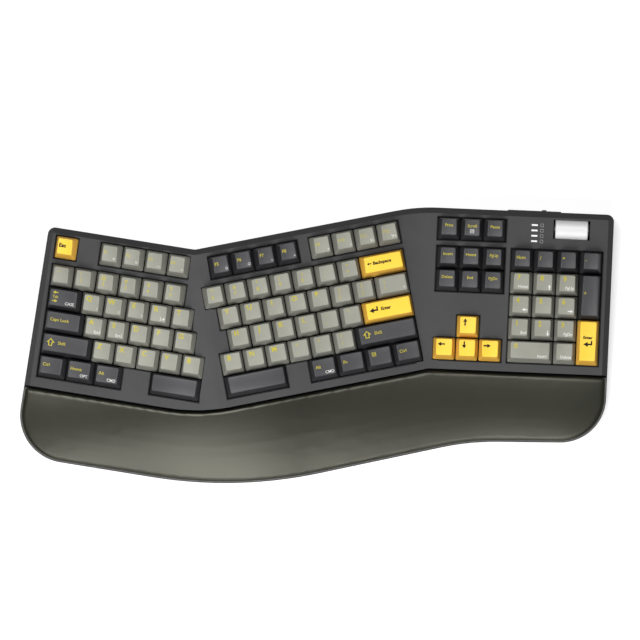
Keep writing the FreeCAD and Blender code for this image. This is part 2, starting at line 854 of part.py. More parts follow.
# Top case
keyboard_corners = outline(KEYBOARD_BORDER)
inner_corners = outline(KEYBOARD_BORDER, WALL)
deck = under_deck(0.0)
shell = prism(keyboard_corners, SPLIT, ABOVE_ALL).common(deck).Solids[0]


def face_tilt(face):
    """Upward part of the normal at the middle of a face."""
    first_u, last_u, first_v, last_v = face.ParameterRange
    return face.normalAt((first_u + last_u) / 2, (first_v + last_v) / 2).z


def faces_up(face):
    return face_tilt(face) > UPWARD


def rim_edges(solid):
    """Border edges of the deck on the rear, left and right, but not along the seam."""
    deck_faces = [face for face in solid.Faces if faces_up(face)]
    wall_faces = [face for face in solid.Faces if not faces_up(face)]
    found = []
    for edge in [edge for face in deck_faces for edge in face.Edges]:
        if not any(edge.isSame(other) for face in wall_faces for other in face.Edges):
            continue
        middle = edge.valueAt((edge.FirstParameter + edge.LastParameter) / 2)
        from_seam = min(
            (middle - line[0]).dot(Vector(line[1].y, -line[1].x, 0)) for line in (seam_left, seam_middle)
        )
        from_right_seam = (middle - seam_right[0]).dot(Vector(seam_right[1].y, -seam_right[1].x, 0))
        if middle.x > VALLEY:
            from_seam = from_right_seam
        if from_seam > SEAM_REACH:
            found.append(edge)
    return found


shell = shell.makeChamfer(size("rim_bevel"), rim_edges(shell))
ledge = on_rear_wall(Part.makeBox(
    size("ledge_end") - size("ledge_start"),
    size("ledge_reach") + WALL / 2,
    size("ledge_top") - size("ledge_bottom"),
    Vector(size("ledge_start"), -WALL / 2, size("ledge_bottom")),
))
shell = shell.fuse(ledge)
inside = prism(inner_corners, BELOW_ALL, ABOVE_ALL).common(under_deck(WALL))
top_case = shell.cut(inside)
columns = [
    column(place, SPLIT, ABOVE_ALL, size("column_width")).common(under_deck(WALL / 2))
    for place in SCREW_PLACES
]
top_case = top_case.fuse(columns)
cuts = [well_solid(block, DECK_CUT_DEPTH, HOLE_OVERRUN) for block in BLOCKS]
cuts.extend(screw_thread(place, size("screw_length")) for place in SCREW_PLACES)
cuts.append(right_block.place(centred_box(
    size("roller_slot_length"),
    size("roller_slot_width"),
    -DECK_CUT_DEPTH,
    HOLE_OVERRUN,
    size("roller_x"),
    size("roller_y"),
)))
cuts.append(right_block.place(Part.makeCylinder(
    size("roller_radius") + size("roller_side_gap"),
    size("roller_slot_length"),
    Vector(size("roller_x") - size("roller_slot_length") / 2, size("roller_y"), -size("roller_depth")),
    Vector(1, 0, 0),
)))
lamp_places = [size("lamp_y") + size("lamp_pitch") * n for n in range(4)]
for y in lamp_places:
    gap = 2 * size("fit_gap")
    cuts.append(right_block.place(centred_box(
        size("lamp_length") + gap,
        size("lamp_width") + gap,
        -DECK_CUT_DEPTH,
        HOLE_OVERRUN,
        size("lamp_x"),
        y,
    )))
socket_gap = size("socket_hole_gap")
cuts.append(on_rear_wall(centred_box(
    size("socket_width") + 2 * socket_gap,
    HOLE_OVERRUN,
    size("port_level") - size("socket_height") / 2 - socket_gap,
    size("port_level") + size("socket_height") / 2 + socket_gap,
    size("socket_place"),
)))
knob_gap = size("knob_gap")
cuts.append(on_rear_wall(centred_box(
    size("knob_width") + size("knob_travel") + 2 * knob_gap,
    HOLE_OVERRUN,
    size("port_level") - size("knob_height") / 2 - knob_gap,
    size("port_level") + size("knob_height") / 2 + knob_gap,
    size("switch_place"),
)))
top_case = top_case.cut(cuts)
nodes.append(add_part("top_case", top_case))

# Plates and boards
plate_outline = outline(KEYBOARD_BORDER, WALL + size("plate_edge_gap"))
board_outline = outline(KEYBOARD_BORDER, WALL + size("board_edge_inset"))
sides = {
    "left": [beside_fold(size("ridge_place"), -1)],
    "middle": [beside_fold(size("ridge_place"), 1), beside_fold(VALLEY, -1)],
    "right": [beside_fold(VALLEY, 1)],
}


def sheet_part(block, corners, depth, thickness):
    """Flat sheet under one block, inside the case and clear of screws and roller."""
    sheet_shape = block.layer(depth, thickness).common(prism(corners, BELOW_ALL, ABOVE_ALL))
    for side in sides[block.name]:
        sheet_shape = sheet_shape.common(side)
    clear = size("column_width") + 2 * size("fold_gap")
    openings = [column(place, BELOW_ALL, ABOVE_ALL, clear) for place in SCREW_PLACES]
    return sheet_shape.cut(openings + [roller_box])


for block in BLOCKS:
    plate = sheet_part(block, plate_outline, PLATE_DEPTH, size("plate_thickness"))
    holes = []
    hole = size("housing_width") + 2 * size("fit_gap")
    for x, y in switch_places[block.name]:
        holes.append(block.place(centred_box(hole, hole, -BOARD_DEPTH, 0, x, y)))
    across = size("stabilizer_width") + 2 * size("fit_gap")
    upwards = size("stabilizer_depth") + 2 * size("fit_gap")
    for x, y, upright in stabilizer_places[block.name]:
        width, depth = (upwards, across) if upright else (across, upwards)
        holes.append(block.place(centred_box(width, depth, -BOARD_DEPTH, 0, x, y)))
    nodes.append(add_part("switch_plate_" + block.name, plate.cut(holes).Solids[0]))

boards = [sheet_part(block, board_outline, BOARD_DEPTH, size("board_thickness")) for block in BLOCKS]
nodes.append(add_part("circuit_boards", Part.makeCompound([board.Solids[0] for board in boards])))

# Bottom case: posts carry the plates, two along each side, with one between the ports
PORT_SIDE = 1
whole_corners = outline(WHOLE_BORDER)
tray = prism(whole_corners, BASE_LEVEL, SPLIT)
pocket = prism(inner_corners, FLOOR_LEVEL, ABOVE_ALL)
palm_pocket = prism(outline(palm_border(0.0), WALL), FLOOR_LEVEL, ABOVE_ALL)
tray = tray.cut([pocket, palm_pocket])

supports = []
post_inset = WALL + size("plate_edge_gap") + size("post_width") / 2 + size("post_edge_gap")
posts_outline = outline(KEYBOARD_BORDER, post_inset)
border_blocks = [
    middle_block,
    right_block,
    right_block,
    right_block,
    middle_block,
    left_block,
    left_block,
    left_block,
]
post_places = []
for index, block in enumerate(border_blocks):
    start = Vector(*posts_outline[index][:2], 0)
    end = Vector(*posts_outline[(index + 1) % len(posts_outline)][:2], 0)
    post_places.append((block, start + (end - start) * size("first_post_share")))
    if index != PORT_SIDE:
        post_places.append((block, start + (end - start) * size("second_post_share")))
between_ports = (size("socket_place") + size("switch_place")) / 2
post_places.append((right_block, rear_frame.multVec(Vector(between_ports, -post_inset, 0))))
for block, place in post_places:
    post = column(place, FLOOR_LEVEL, ABOVE_ALL, size("post_width"))
    supports.append(post.common(block.under(PLATE_DEPTH + size("plate_thickness"))))

bosses = []
holes = []
for place in SCREW_PLACES + palm_screws:
    bosses.append(column(place, FLOOR_LEVEL, SPLIT, size("boss_width")))
    holes.append(upright_cylinder(place, size("screw_hole_radius"), BASE_LEVEL - 1, SPLIT + 1))
    head_top = BASE_LEVEL + size("screw_head_height") + size("screw_head_gap")
    holes.append(upright_cylinder(place, size("screw_head_radius") + size("screw_head_gap"), 0, head_top))

roller_axis_depth = size("roller_depth")
bracket_bottom = roller_axis_depth + size("roller_radius") + size("roller_side_gap") + size("bracket_base")
ear_middle = size("roller_length") / 2 + size("roller_side_gap") + size("bracket_ear") / 2
for shift in (-ear_middle, ear_middle):
    foot_point = right_block.point(size("roller_x") + shift, size("roller_y"), -bracket_bottom)
    post = column(foot_point, FLOOR_LEVEL, ABOVE_ALL, size("post_width"))
    supports.append(post.common(right_block.under(bracket_bottom)))

# Tilt feet fold into pockets of the tray near its rear corners
tilt_frames = {}
for name, block in (("left", left_block), ("right", right_block)):
    point = block.point(size("tilt_%s_units" % name) * PITCH, size("tilt_rear_units") * PITCH)
    turn = FreeCAD.Rotation(Vector(0, 0, 1), size(name + "_block_turn"))
    tilt_frames[name] = FreeCAD.Placement(Vector(point.x, point.y, size("tilt_axis_height")), turn)


def tilt_pocket(frame):
    """Pocket and pin bores of one tilt foot, seen from its hinge axis."""
    gap = size("tilt_pocket_gap")
    barrel = size("tilt_barrel_radius")
    width = size("tilt_foot_width") + 2 * gap
    depth = size("tilt_foot_length") + barrel + 2 * gap
    corner = Vector(-width / 2, -size("tilt_foot_length") - gap, -size("tilt_axis_height"))
    hollow = Part.makeBox(width, depth, size("tilt_axis_height") + barrel + gap, corner)
    reach = size("tilt_foot_width") + 2 * size("tilt_pin_length") + 2 * gap
    bore = Part.makeCylinder(
        size("tilt_pin_radius") + size("tilt_pin_gap"),
        reach,
        Vector(-reach / 2, 0, 0),
        Vector(1, 0, 0),
    )
    pocket_shape = hollow.fuse(bore)
    pocket_shape.Placement = frame
    return pocket_shape


def tilt_block(frame):
    """Solid part of the tray that a tilt foot's pocket is sunk into."""
    gap = size("tilt_pocket_gap")
    side = size("tilt_pin_length") + 2 * gap
    width = size("tilt_foot_width") + 2 * gap + 2 * side
    depth = size("tilt_foot_length") + size("tilt_barrel_radius") + 2 * gap + 2 * WALL
    bottom = FLOOR_LEVEL - size("tilt_axis_height")
    corner = Vector(-width / 2, -size("tilt_foot_length") - gap - WALL, bottom)
    block_shape = Part.makeBox(width, depth, SPLIT - FLOOR_LEVEL, corner)
    block_shape.Placement = frame
    return block_shape


blocks = [tilt_block(frame) for frame in tilt_frames.values()]
tray = tray.fuse(supports + bosses + blocks).removeSplitter()
tray = tray.cut(holes + [tilt_pocket(frame) for frame in tilt_frames.values()])
nodes.append(add_part("bottom_case", tray.Solids[0]))

# Screws and rubber feet
screws = []
for place in SCREW_PLACES + palm_screws:
    length = size("palm_screw_length") if place in palm_screws else size("screw_length")
    head = upright_cylinder(
        place,
        size("screw_head_radius"),
        BASE_LEVEL + size("screw_head_gap"),
        BASE_LEVEL + size("screw_head_gap") + size("screw_head_height"),
    )
    shank_bottom = BASE_LEVEL + size("screw_head_gap")
    shank = upright_cylinder(place, size("screw_radius"), shank_bottom, shank_bottom + length)
    screws.append(head.fuse(shank).removeSplitter())
nodes.append(add_part("case_screws", Part.makeCompound(screws)))


foot_places = [
    left_block.point(0.4 * PITCH, 0.8 * PITCH),
    middle_block.point(3.6 * PITCH, 0.8 * PITCH),
    right_block.point(6.8 * PITCH, 0.8 * PITCH),
    along_seam(seam_left, 6.8 * PITCH, size("palm_depth_left") * size("foot_depth_share")),
    along_seam(seam_middle, 8.2 * PITCH, size("palm_depth_middle") * size("foot_middle_depth_share")),
    along_seam(seam_right, 0.5 * PITCH, size("palm_depth_right") * size("foot_depth_share")),
]
feet = [upright_cylinder(place, size("foot_radius"), 0.0, BASE_LEVEL) for place in foot_places]
nodes.append(add_part("rubber_feet", Part.makeCompound(feet)))


# Palm rest

def crossing(line, x):
    """Where a plan line passes a place along X."""
    point, along = line
    return point.y + along.y * (x - point.x) / along.x


def deck_height(x, y):
    """Height of the unrounded deck over a plan point."""
    fold = math.radians(size("fold_angle"))
    front_x = x + y * math.tan(fold)
    rise = y / math.cos(fold) * tangent("typing_slope")
    if front_x < size("ridge_place"):
        return ridge_level() - (size("ridge_place") - front_x) * tangent("left_tent") + rise
    if front_x < VALLEY:
        return ridge_level() - (front_x - size("ridge_place")) * tangent("middle_tent") + rise
    return size("deck_level") + rise


seam_low = meeting(seam_left, seam_middle)
seam_high = meeting(seam_middle, seam_right)
front_low = meeting(palm_left, palm_middle)
front_high = meeting(palm_middle, palm_right)
left_end = meeting(palm_left, left_side).x
right_end = meeting(seam_right, right_side).x


def palm_section(x, drop, crown):
    """Cross-section of the palm rest at a place along X, lowered by drop, open down to the desk."""
    over = size("cushion_edge_reach")
    if x < seam_low.x:
        seam_y = crossing(seam_left, x)
    elif x < seam_high.x:
        seam_y = crossing(seam_middle, x)
    else:
        seam_y = crossing(seam_right, x)
    if x < front_low.x:
        front_y = crossing(palm_left, x)
    elif x < front_high.x:
        front_y = crossing(palm_middle, x)
    else:
        front_y = crossing(palm_right, x)
    rear_height = deck_height(x, seam_y) - size("palm_step_down")
    lowest = deck_height(left_end, crossing(seam_left, left_end)) - size("palm_step_down")
    front_height = size("palm_front_height") + size("palm_front_share") * max(rear_height - lowest, 0.0)
    rear = Vector(x, seam_y + over, rear_height - drop)
    front = Vector(x, front_y - over, front_height - drop)
    bottom = BELOW_ALL
    edges = []
    if crown > 0:
        middle = (rear + front) * 0.5 + Vector(0, 0, crown)
        edges.append(Part.Arc(rear, middle, front).toShape())
    else:
        edges.append(Part.LineSegment(rear, front).toShape())
    rear_foot = Vector(rear.x, rear.y, bottom)
    front_foot = Vector(front.x, front.y, bottom)
    edges.append(Part.LineSegment(front, front_foot).toShape())
    edges.append(Part.LineSegment(front_foot, rear_foot).toShape())
    edges.append(Part.LineSegment(rear_foot, rear).toShape())
    return Part.Wire(edges)


def palm_stations():
    """Evenly spaced places along X of the cross-sections, from beyond one end to beyond the other."""
    first = left_end - size("palm_section_overrun")
    last = right_end + size("palm_section_overrun")
    step = (last - first) / (PALM_SECTIONS - 1)
    return [first + step * number for number in range(PALM_SECTIONS)]


def under_palm(drop, crown):
    sections = [palm_section(x, drop, crown) for x in palm_stations()]
    return Part.makeLoft(sections, True, crown <= 0)


def top_edges(solid):
    """Edges between a solid's top face and whatever slopes down from it."""
    top_faces = [face for face in solid.Faces if faces_up(face)]
    other_faces = [face for face in solid.Faces if -UPRIGHT < face_tilt(face) < UPWARD]
    found = []
    for edge in [edge for face in top_faces for edge in face.Edges]:
        if any(edge.isSame(other) for face in other_faces for other in face.Edges):
            found.append(edge)
    return found


base_drop = size("cushion_thickness")
palm_gap = size("palm_gap")
base_outer = prism(outline(palm_border(palm_gap)), SPLIT, ABOVE_ALL).common(under_palm(base_drop, 0))
base_inner = prism(outline(palm_border(palm_gap), WALL), BELOW_ALL, ABOVE_ALL)
base_inner = base_inner.common(under_palm(base_drop + WALL, 0))
palm_base = base_outer.cut(base_inner)
palm_columns = [
    column(place, SPLIT, ABOVE_ALL, size("column_width")).common(under_palm(base_drop + WALL / 2, 0))
    for place in palm_screws
]
palm_base = palm_base.fuse(palm_columns)
palm_base = palm_base.cut([screw_thread(place, size("palm_screw_length")) for place in palm_screws])
nodes.append(add_part("palm_rest_base", palm_base.Solids[0]))

cushion_prism = prism(outline(palm_border(palm_gap), size("cushion_lap")), SPLIT, ABOVE_ALL)
cushion = cushion_prism.common(under_palm(0.0, size("palm_crown")))
cushion = cushion.cut(under_palm(base_drop - size("cushion_seat_gap"), 0)).Solids[0]
cushion = cushion.makeChamfer(size("cushion_shoulder"), top_edges(cushion))
cushion = cushion.makeChamfer(size("cushion_upper_shoulder"), top_edges(cushion))
nodes.append(add_part("palm_rest_cushion", cushion))


# Pieces drawn as sketches and features

def origin_plane(body, role):
    return next(item for item in body.Origin.OriginFeatures if item.Role == role)


def new_body(name):
    body = doc.addObject("PartDesign::Body", name)
    body.Label = name
    return body


def new_sketch(body, name, role):
    sketch = body.newObject("Sketcher::SketchObject", name)
    sketch.AttachmentSupport = [(origin_plane(body, role), "")]
    sketch.MapMode = "FlatFace"
    return sketch


def bind(sketch, kind, geometry, point, formula):
    """Distance of one point from the sketch's origin, bound to the sheet."""
    value = float(sketch.evalExpression(formula))
    if abs(value) < 1e-9:
        axis = -2 if kind == "DistanceX" else -1
        sketch.addConstraint(Sketcher.Constraint("PointOnObject", geometry, point, axis))
        return
    number = sketch.addConstraint(Sketcher.Constraint(kind, -1, 1, geometry, point, value))
    sketch.setExpression("Constraints[%d]" % number, formula)


def closed_profile(sketch, points):
    """Closed polyline whose corners are pairs of formulas."""
    places = [Vector(float(sketch.evalExpression(x)), float(sketch.evalExpression(y)), 0) for x, y in points]
    count = len(places)
    for index in range(count):
        sketch.addGeometry(Part.LineSegment(places[index], places[(index + 1) % count]), False)
    for index in range(count):
        sketch.addConstraint(Sketcher.Constraint("Coincident", index, 2, (index + 1) % count, 1))
    for index, (x, y) in enumerate(points):
        bind(sketch, "DistanceX", index, 1, x)
        bind(sketch, "DistanceY", index, 1, y)


def circle(sketch, formula):
    """Circle about the sketch's origin."""
    number = sketch.addGeometry(Part.Circle(Vector(0, 0, 0), Vector(0, 0, 1), 1.0), False)
    sketch.addConstraint(Sketcher.Constraint("Coincident", number, 3, -1, 1))
    radius = sketch.addConstraint(Sketcher.Constraint("Radius", number, float(sketch.evalExpression(formula))))
    sketch.setExpression("Constraints[%d]" % radius, formula)


def pad(body, name, sketch, formula, midplane=False):
    feature = body.newObject("PartDesign::Pad", name)
    feature.Profile = sketch
    feature.setExpression("Length", formula)
    feature.Midplane = midplane
    return feature


# Roller: a drum with a pin at each end, turned about its own axis
roller = new_body("roller")
pin_length = "(sizes.roller_side_gap + sizes.bracket_ear)"
drum_end = pin_length + " + sizes.roller_length"
half_section = new_sketch(roller, "roller_section", "XZ_Plane")
closed_profile(half_section, [
    ("0", "0"),
    ("0", "sizes.roller_pin_radius"),
    (pin_length, "sizes.roller_pin_radius"),
    (pin_length, "sizes.roller_radius - sizes.roller_bevel"),
    (pin_length + " + sizes.roller_bevel", "sizes.roller_radius"),
    (drum_end + " - sizes.roller_bevel", "sizes.roller_radius"),
    (drum_end, "sizes.roller_radius - sizes.roller_bevel"),
    (drum_end, "sizes.roller_pin_radius"),
    (drum_end + " + " + pin_length, "sizes.roller_pin_radius"),
    (drum_end + " + " + pin_length, "0"),
])
drum = roller.newObject("PartDesign::Revolution", "roller_drum")
drum.Profile = half_section
drum.ReferenceAxis = (half_section, ["H_Axis"])
drum.Angle = 360
pin_reach = size("roller_side_gap") + size("bracket_ear")
drum_start = Vector(
    size("roller_x") - size("roller_length") / 2 - pin_reach,
    size("roller_y"),
    -size("roller_depth"),
)
roller.Placement = right_block.placement.multiply(FreeCAD.Placement(drum_start, FreeCAD.Rotation()))
nodes.append(roller)

# Battery
battery = new_body("battery")
battery_sketch = new_sketch(battery, "battery_outline", "XY_Plane")
closed_profile(battery_sketch, [
    ("0", "0"),
    ("sizes.battery_length", "0"),
    ("sizes.battery_length", "sizes.battery_width"),
    ("0", "sizes.battery_width"),
])
cell = pad(battery, "battery_cell", battery_sketch, "sizes.battery_height")
doc.recompute()
upright_edges = [
    "Edge%d" % (number + 1)
    for number, edge in enumerate(cell.Shape.Edges)
    if abs(edge.tangentAt(edge.FirstParameter).z) > 0.9
]
rounding = battery.newObject("PartDesign::Fillet", "battery_rounding")
rounding.Base = (cell, upright_edges)
rounding.setExpression("Radius", "sizes.battery_corner")
battery.Placement.Base = Vector(
    size("battery_x") - size("battery_length") / 2,
    size("battery_y") - size("battery_width") / 2,
    FLOOR_LEVEL + size("battery_seat_gap"),
)
nodes.append(battery)

# Tilt feet: a barrel with pins and a leg that lies forward when folded
for side_name, frame in tilt_frames.items():
    tilt_foot = new_body("tilt_foot_" + side_name)
    barrel_sketch = new_sketch(tilt_foot, side_name + "_barrel_circle", "YZ_Plane")
    circle(barrel_sketch, "sizes.tilt_barrel_radius")
    pad(tilt_foot, side_name + "_barrel", barrel_sketch, "sizes.tilt_foot_width", True)
    leg_sketch = new_sketch(tilt_foot, side_name + "_leg_section", "YZ_Plane")
    closed_profile(leg_sketch, [
        ("0", "0"),
        ("sizes.tilt_foot_length", "0"),
        ("sizes.tilt_foot_length", "sizes.tilt_barrel_radius"),
        ("0", "sizes.tilt_barrel_radius"),
    ])
    pad(tilt_foot, side_name + "_leg", leg_sketch, "sizes.tilt_foot_width", True)
    pin_sketch = new_sketch(tilt_foot, side_name + "_pin_circle", "YZ_Plane")
    circle(pin_sketch, "sizes.tilt_pin_radius")
    pad(tilt_foot, side_name + "_pins", pin_sketch, "sizes.tilt_foot_width + 2 * sizes.tilt_pin_length", True)
    flip = FreeCAD.Placement(Vector(0, 0, 0), FreeCAD.Rotation(Vector(1, 0, 0), 180))
    tilt_foot.Placement = frame.multiply(flip)
    nodes.append(tilt_foot)

# Roller bracket: two ears with bores on a base
half_length = size("roller_length") / 2
ear = size("bracket_ear")
ear_inside = half_length + size("roller_side_gap")
ear_top = -roller_axis_depth + size("roller_pin_radius") + ear
base_top = -(bracket_bottom - size("bracket_base"))
bracket = Part.makeBox(
    2 * (ear_inside + ear),
    size("bracket_width"),
    size("bracket_base"),
    Vector(-ear_inside - ear, -size("bracket_width") / 2, -bracket_bottom),
)
for start in (-ear_inside - ear, ear_inside):
    bracket = bracket.fuse(Part.makeBox(
        ear,
        size("bracket_width"),
        ear_top + bracket_bottom,
        Vector(start, -size("bracket_width") / 2, -bracket_bottom),
    ))
pin_bore = Part.makeCylinder(
    size("roller_pin_radius") + size("roller_pin_gap"),
    2 * (ear_inside + ear),
    Vector(-ear_inside - ear, 0, -roller_axis_depth),
    Vector(1, 0, 0),
)
bracket = bracket.removeSplitter().cut(pin_bore)
bracket.translate(Vector(size("roller_x"), size("roller_y"), 0))
nodes.append(add_part("roller_bracket", right_block.place(bracket)))

# Indicator lamps
lamps = []
for y in lamp_places:
    lamp = centred_box(size("lamp_length"), size("lamp_width"), -size("lamp_height"), 0, size("lamp_x"), y)
    lamps.append(right_block.place(lamp))
nodes.append(add_part("indicator_lenses", Part.makeCompound(lamps)))

# Charging socket: a shell open to the rear, with its tongue
reach = size("ledge_reach")
low = size("port_level") - size("socket_height") / 2
high = size("port_level") + size("socket_height") / 2
skin = size("socket_shell")
socket = Part.makeBox(
    size("socket_width"),
    size("socket_depth"),
    high - low,
    Vector(size("socket_place") - size("socket_width") / 2, reach - size("socket_depth"), low),
)
round_edges = [edge for edge in socket.Edges if abs(edge.tangentAt(edge.FirstParameter).y) > 0.9]
socket = socket.makeFillet(size("socket_height") / 2 - HAIR, round_edges)
socket_inside = Part.makeBox(
    size("socket_width") - 2 * skin,
    size("socket_depth") - skin + 1,
    high - low - 2 * skin,
    Vector(
        size("socket_place") - size("socket_width") / 2 + skin,
        reach - size("socket_depth") + skin,
        low + skin,
    ),
)
inside_edges = [edge for edge in socket_inside.Edges if abs(edge.tangentAt(edge.FirstParameter).y) > 0.9]
socket_inside = socket_inside.makeFillet(size("socket_height") / 2 - skin - HAIR, inside_edges)
tongue = Part.makeBox(
    size("socket_width") - 2 * skin - 2,
    size("socket_depth") - skin - 1,
    size("socket_tongue"),
    Vector(
        size("socket_place") - size("socket_width") / 2 + skin + 1,
        reach - size("socket_depth") + skin / 2,
        size("port_level") - size("socket_tongue") / 2,
    ),
)
socket = socket.cut(socket_inside).fuse(tongue).removeSplitter()
nodes.append(add_part("usb_socket", on_rear_wall(socket)))

# Mode switch knob: a flange behind the wall and a nub through its slot
flange_front = -WALL - size("knob_gap")
flange = centred_box(
    size("knob_flange_width"),
    size("knob_flange_depth"),
    size("port_level") - size("knob_flange_height") / 2,
    size("port_level") + size("knob_flange_height") / 2,
    size("switch_place") - size("knob_travel") / 2,
    flange_front - size("knob_flange_depth") / 2,
)
nub_reach = reach + size("knob_reach")
nub = Part.makeBox(
    size("knob_width"),
    nub_reach - flange_front,
    size("knob_height"),
    Vector(
        size("switch_place") - size("knob_travel") / 2 - size("knob_width") / 2,
        flange_front,
        size("port_level") - size("knob_height") / 2,
    ),
)
knob = flange.fuse(nub).removeSplitter()
nodes.append(add_part("mode_switch_knob", on_rear_wall(knob)))

doc.recompute()


# Check every object and write the parts

def check_document():
    for item in doc.Objects:
        for state in item.State:
            if state in ("Invalid", "Error"):
                raise RuntimeError("%s is %s" % (item.Label, state))
    for node in nodes:
        if node.Shape.isNull() or not node.Shape.isValid():
            raise RuntimeError("%s has no valid shape" % node.Label)
        if not node.Shape.Solids:
            raise RuntimeError("%s has no solid" % node.Label)


check_document()
os.makedirs("parts", exist_ok=True)
for node in nodes:
    node.Shape.exportStep("parts/%s.step" % node.Label)

bounds = FreeCAD.BoundBox()
for node in nodes:
    bounds.add(node.Shape.optimalBoundingBox(False, False))
print("%d parts, x %.2f to %.2f, y %.2f to %.2f, z %.2f to %.2f" % (
    len(nodes), bounds.XMin, bounds.XMax, bounds.YMin, bounds.YMax, bounds.ZMin, bounds.ZMax))
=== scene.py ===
# %% [markdown]
# A split ergonomic keyboard with a padded palm rest. The rigid parts come from the imported CAD
# model, which Blender never moves. This file gives them their looks: it rounds the key caps,
# prints their legends, draws painted shade as black lines along the edges of the key wells,
# upholsters the palm rest and finishes every plastic, metal and rubber, some plastics with painted
# shade on their slopes. Everything is in metres, +X to the typist's right, +Y to the rear and +Z up
# from the desk.

import json
import math

import bmesh
import bpy
from mathutils import Matrix, Vector


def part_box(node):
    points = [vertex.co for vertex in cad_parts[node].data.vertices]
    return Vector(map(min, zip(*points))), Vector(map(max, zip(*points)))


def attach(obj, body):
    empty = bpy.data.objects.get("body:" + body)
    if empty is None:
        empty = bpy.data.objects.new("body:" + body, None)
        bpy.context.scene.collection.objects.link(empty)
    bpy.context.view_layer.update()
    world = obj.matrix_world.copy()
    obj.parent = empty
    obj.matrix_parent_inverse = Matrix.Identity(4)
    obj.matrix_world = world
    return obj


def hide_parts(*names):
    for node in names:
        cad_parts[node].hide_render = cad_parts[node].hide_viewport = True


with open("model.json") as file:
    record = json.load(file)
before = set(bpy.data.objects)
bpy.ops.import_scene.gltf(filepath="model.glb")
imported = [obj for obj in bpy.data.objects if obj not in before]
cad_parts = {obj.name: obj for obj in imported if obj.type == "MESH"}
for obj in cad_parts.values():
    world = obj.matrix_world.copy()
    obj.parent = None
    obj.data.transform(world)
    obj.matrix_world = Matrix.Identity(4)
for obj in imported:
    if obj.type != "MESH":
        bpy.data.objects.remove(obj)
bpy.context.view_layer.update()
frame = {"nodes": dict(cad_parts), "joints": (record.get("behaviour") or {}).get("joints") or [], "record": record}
MM = 0.001

# %% [markdown]
# The photograph looks straight down through a long lens, so the keyboard's tented blocks show
# almost no perspective. A camera eight metres up with a matching focal length gives that view.

# %% Camera
VIEW_WIDTH = 531.2 * MM
VIEW_CENTRE = (2.6 * MM, 21.0 * MM)
VIEW_LEVEL = 30 * MM
CAMERA_HEIGHT = 8.0
SENSOR_WIDTH = 36.0


def add_object(name, data):
    """New object in the scene."""
    thing = bpy.data.objects.new(name, data)
    bpy.context.scene.collection.objects.link(thing)
    return thing


camera = add_object("camera", bpy.data.cameras.new("camera"))
camera.location = (*VIEW_CENTRE, CAMERA_HEIGHT)
camera.data.sensor_width = SENSOR_WIDTH
camera.data.lens = SENSOR_WIDTH * (CAMERA_HEIGHT - VIEW_LEVEL) / VIEW_WIDTH
camera.data.clip_end = 5 * CAMERA_HEIGHT
bpy.context.scene.camera = camera
bpy.context.scene.view_settings.view_transform = "Standard"
print("focal length", round(camera.data.lens), "mm")

# %% [markdown]
# In the photograph the key tops are bright, their left sides less so and their right sides dark,
# so the main softbox hangs above the rear edge, to the left of the middle. Nothing flat mirrors
# it towards the camera there. A low strip in front is mirrored by the palm rest, where it makes
# the soft sheen, and a weak lamp far in front opens up the front faces of the keys. Each softbox
# has a width and a depth, a place, a target and a brightness.

# %% Lamps
SOFTBOXES = {
    "rear_softbox": (0.9, 0.6, (-0.22, 0.62, 1.65), (0.0, 0.0, 0.0), 10.6),
    "strip_softbox": (0.68, 0.34, (-0.10, -0.43, 0.75), (-0.06, -0.08, 0.0), 7.4),
    "front_softbox": (1.2, 0.5, (-0.1, -1.4, 0.9), (0.0, 0.0, 0.0), 3.4),
}


def softbox(name, width, depth, place, target, radiance):
    """Area lamp of a given brightness that faces a target and isn't seen itself."""
    data = bpy.data.lights.new(name, "AREA")
    data.shape = "RECTANGLE"
    data.size = width
    data.size_y = depth
    data.energy = radiance * math.pi * width * depth
    lamp = add_object(name, data)
    lamp.location = place
    lamp.rotation_euler = (Vector(target) - Vector(place)).to_track_quat("-Z", "Y").to_euler()
    lamp.visible_camera = False
    print(name, "gives", round(data.energy, 1), "watts")


for name, settings in SOFTBOXES.items():
    softbox(name, *settings)

# %% [markdown]
# The world is dim where it lights and pale where it is mirrored, so that the lamps keep their
# shadows while gloss and metal have something bright to show. A node that knows which kind of
# ray asks for the colour tells the two apart, and the floor will use it again.

# %% World
WORLD_LIGHT = 0.03
WORLD_MIRRORED = 0.3


def seen_or_mirrored(tree):
    """1 on rays from the camera and on mirrored or refracted ones, 0 on those that light."""
    paths = tree.nodes.new("ShaderNodeLightPath")
    value = paths.outputs["Is Camera Ray"]
    for ray in ("Is Glossy Ray", "Is Transmission Ray"):
        either = tree.nodes.new("ShaderNodeMath")
        either.operation = "MAXIMUM"
        tree.links.new(value, either.inputs[0])
        tree.links.new(paths.outputs[ray], either.inputs[1])
        value = either.outputs[0]
    return value


world = bpy.data.worlds.new("studio")
bpy.context.scene.world = world
world.use_nodes = True
world_tree = world.node_tree
background = world_tree.nodes["Background"]
background.inputs["Color"].default_value = (1.0, 1.0, 1.0, 1.0)
fill = world_tree.nodes.new("ShaderNodeMapRange")
fill.inputs["To Min"].default_value = WORLD_LIGHT
fill.inputs["To Max"].default_value = WORLD_MIRRORED
world_tree.links.new(seen_or_mirrored(world_tree), fill.inputs["Value"])
world_tree.links.new(fill.outputs["Result"], background.inputs["Strength"])
print("the world lights with", WORLD_LIGHT, "and is mirrored at", WORLD_MIRRORED)

# %% [markdown]
# Finishes are node materials. Colours are written as they look on the screen, and a helper turns
# them into the linear values that a shader needs. Most finishes use two noises: a broad one that
# makes the colour uneven, and a fine one that roughens the surface.

# %% Colour and noise
RAMP_ENDS = (0.3, 0.7)


def shade(code):
    """Linear RGBA of a colour written as #rrggbb."""
    channels = [int(code[start:start + 2], 16) / 255 for start in (1, 3, 5)]
    linear = [c / 12.92 if c <= 0.04045 else ((c + 0.055) / 1.055) ** 2.4 for c in channels]
    return (*linear, 1.0)


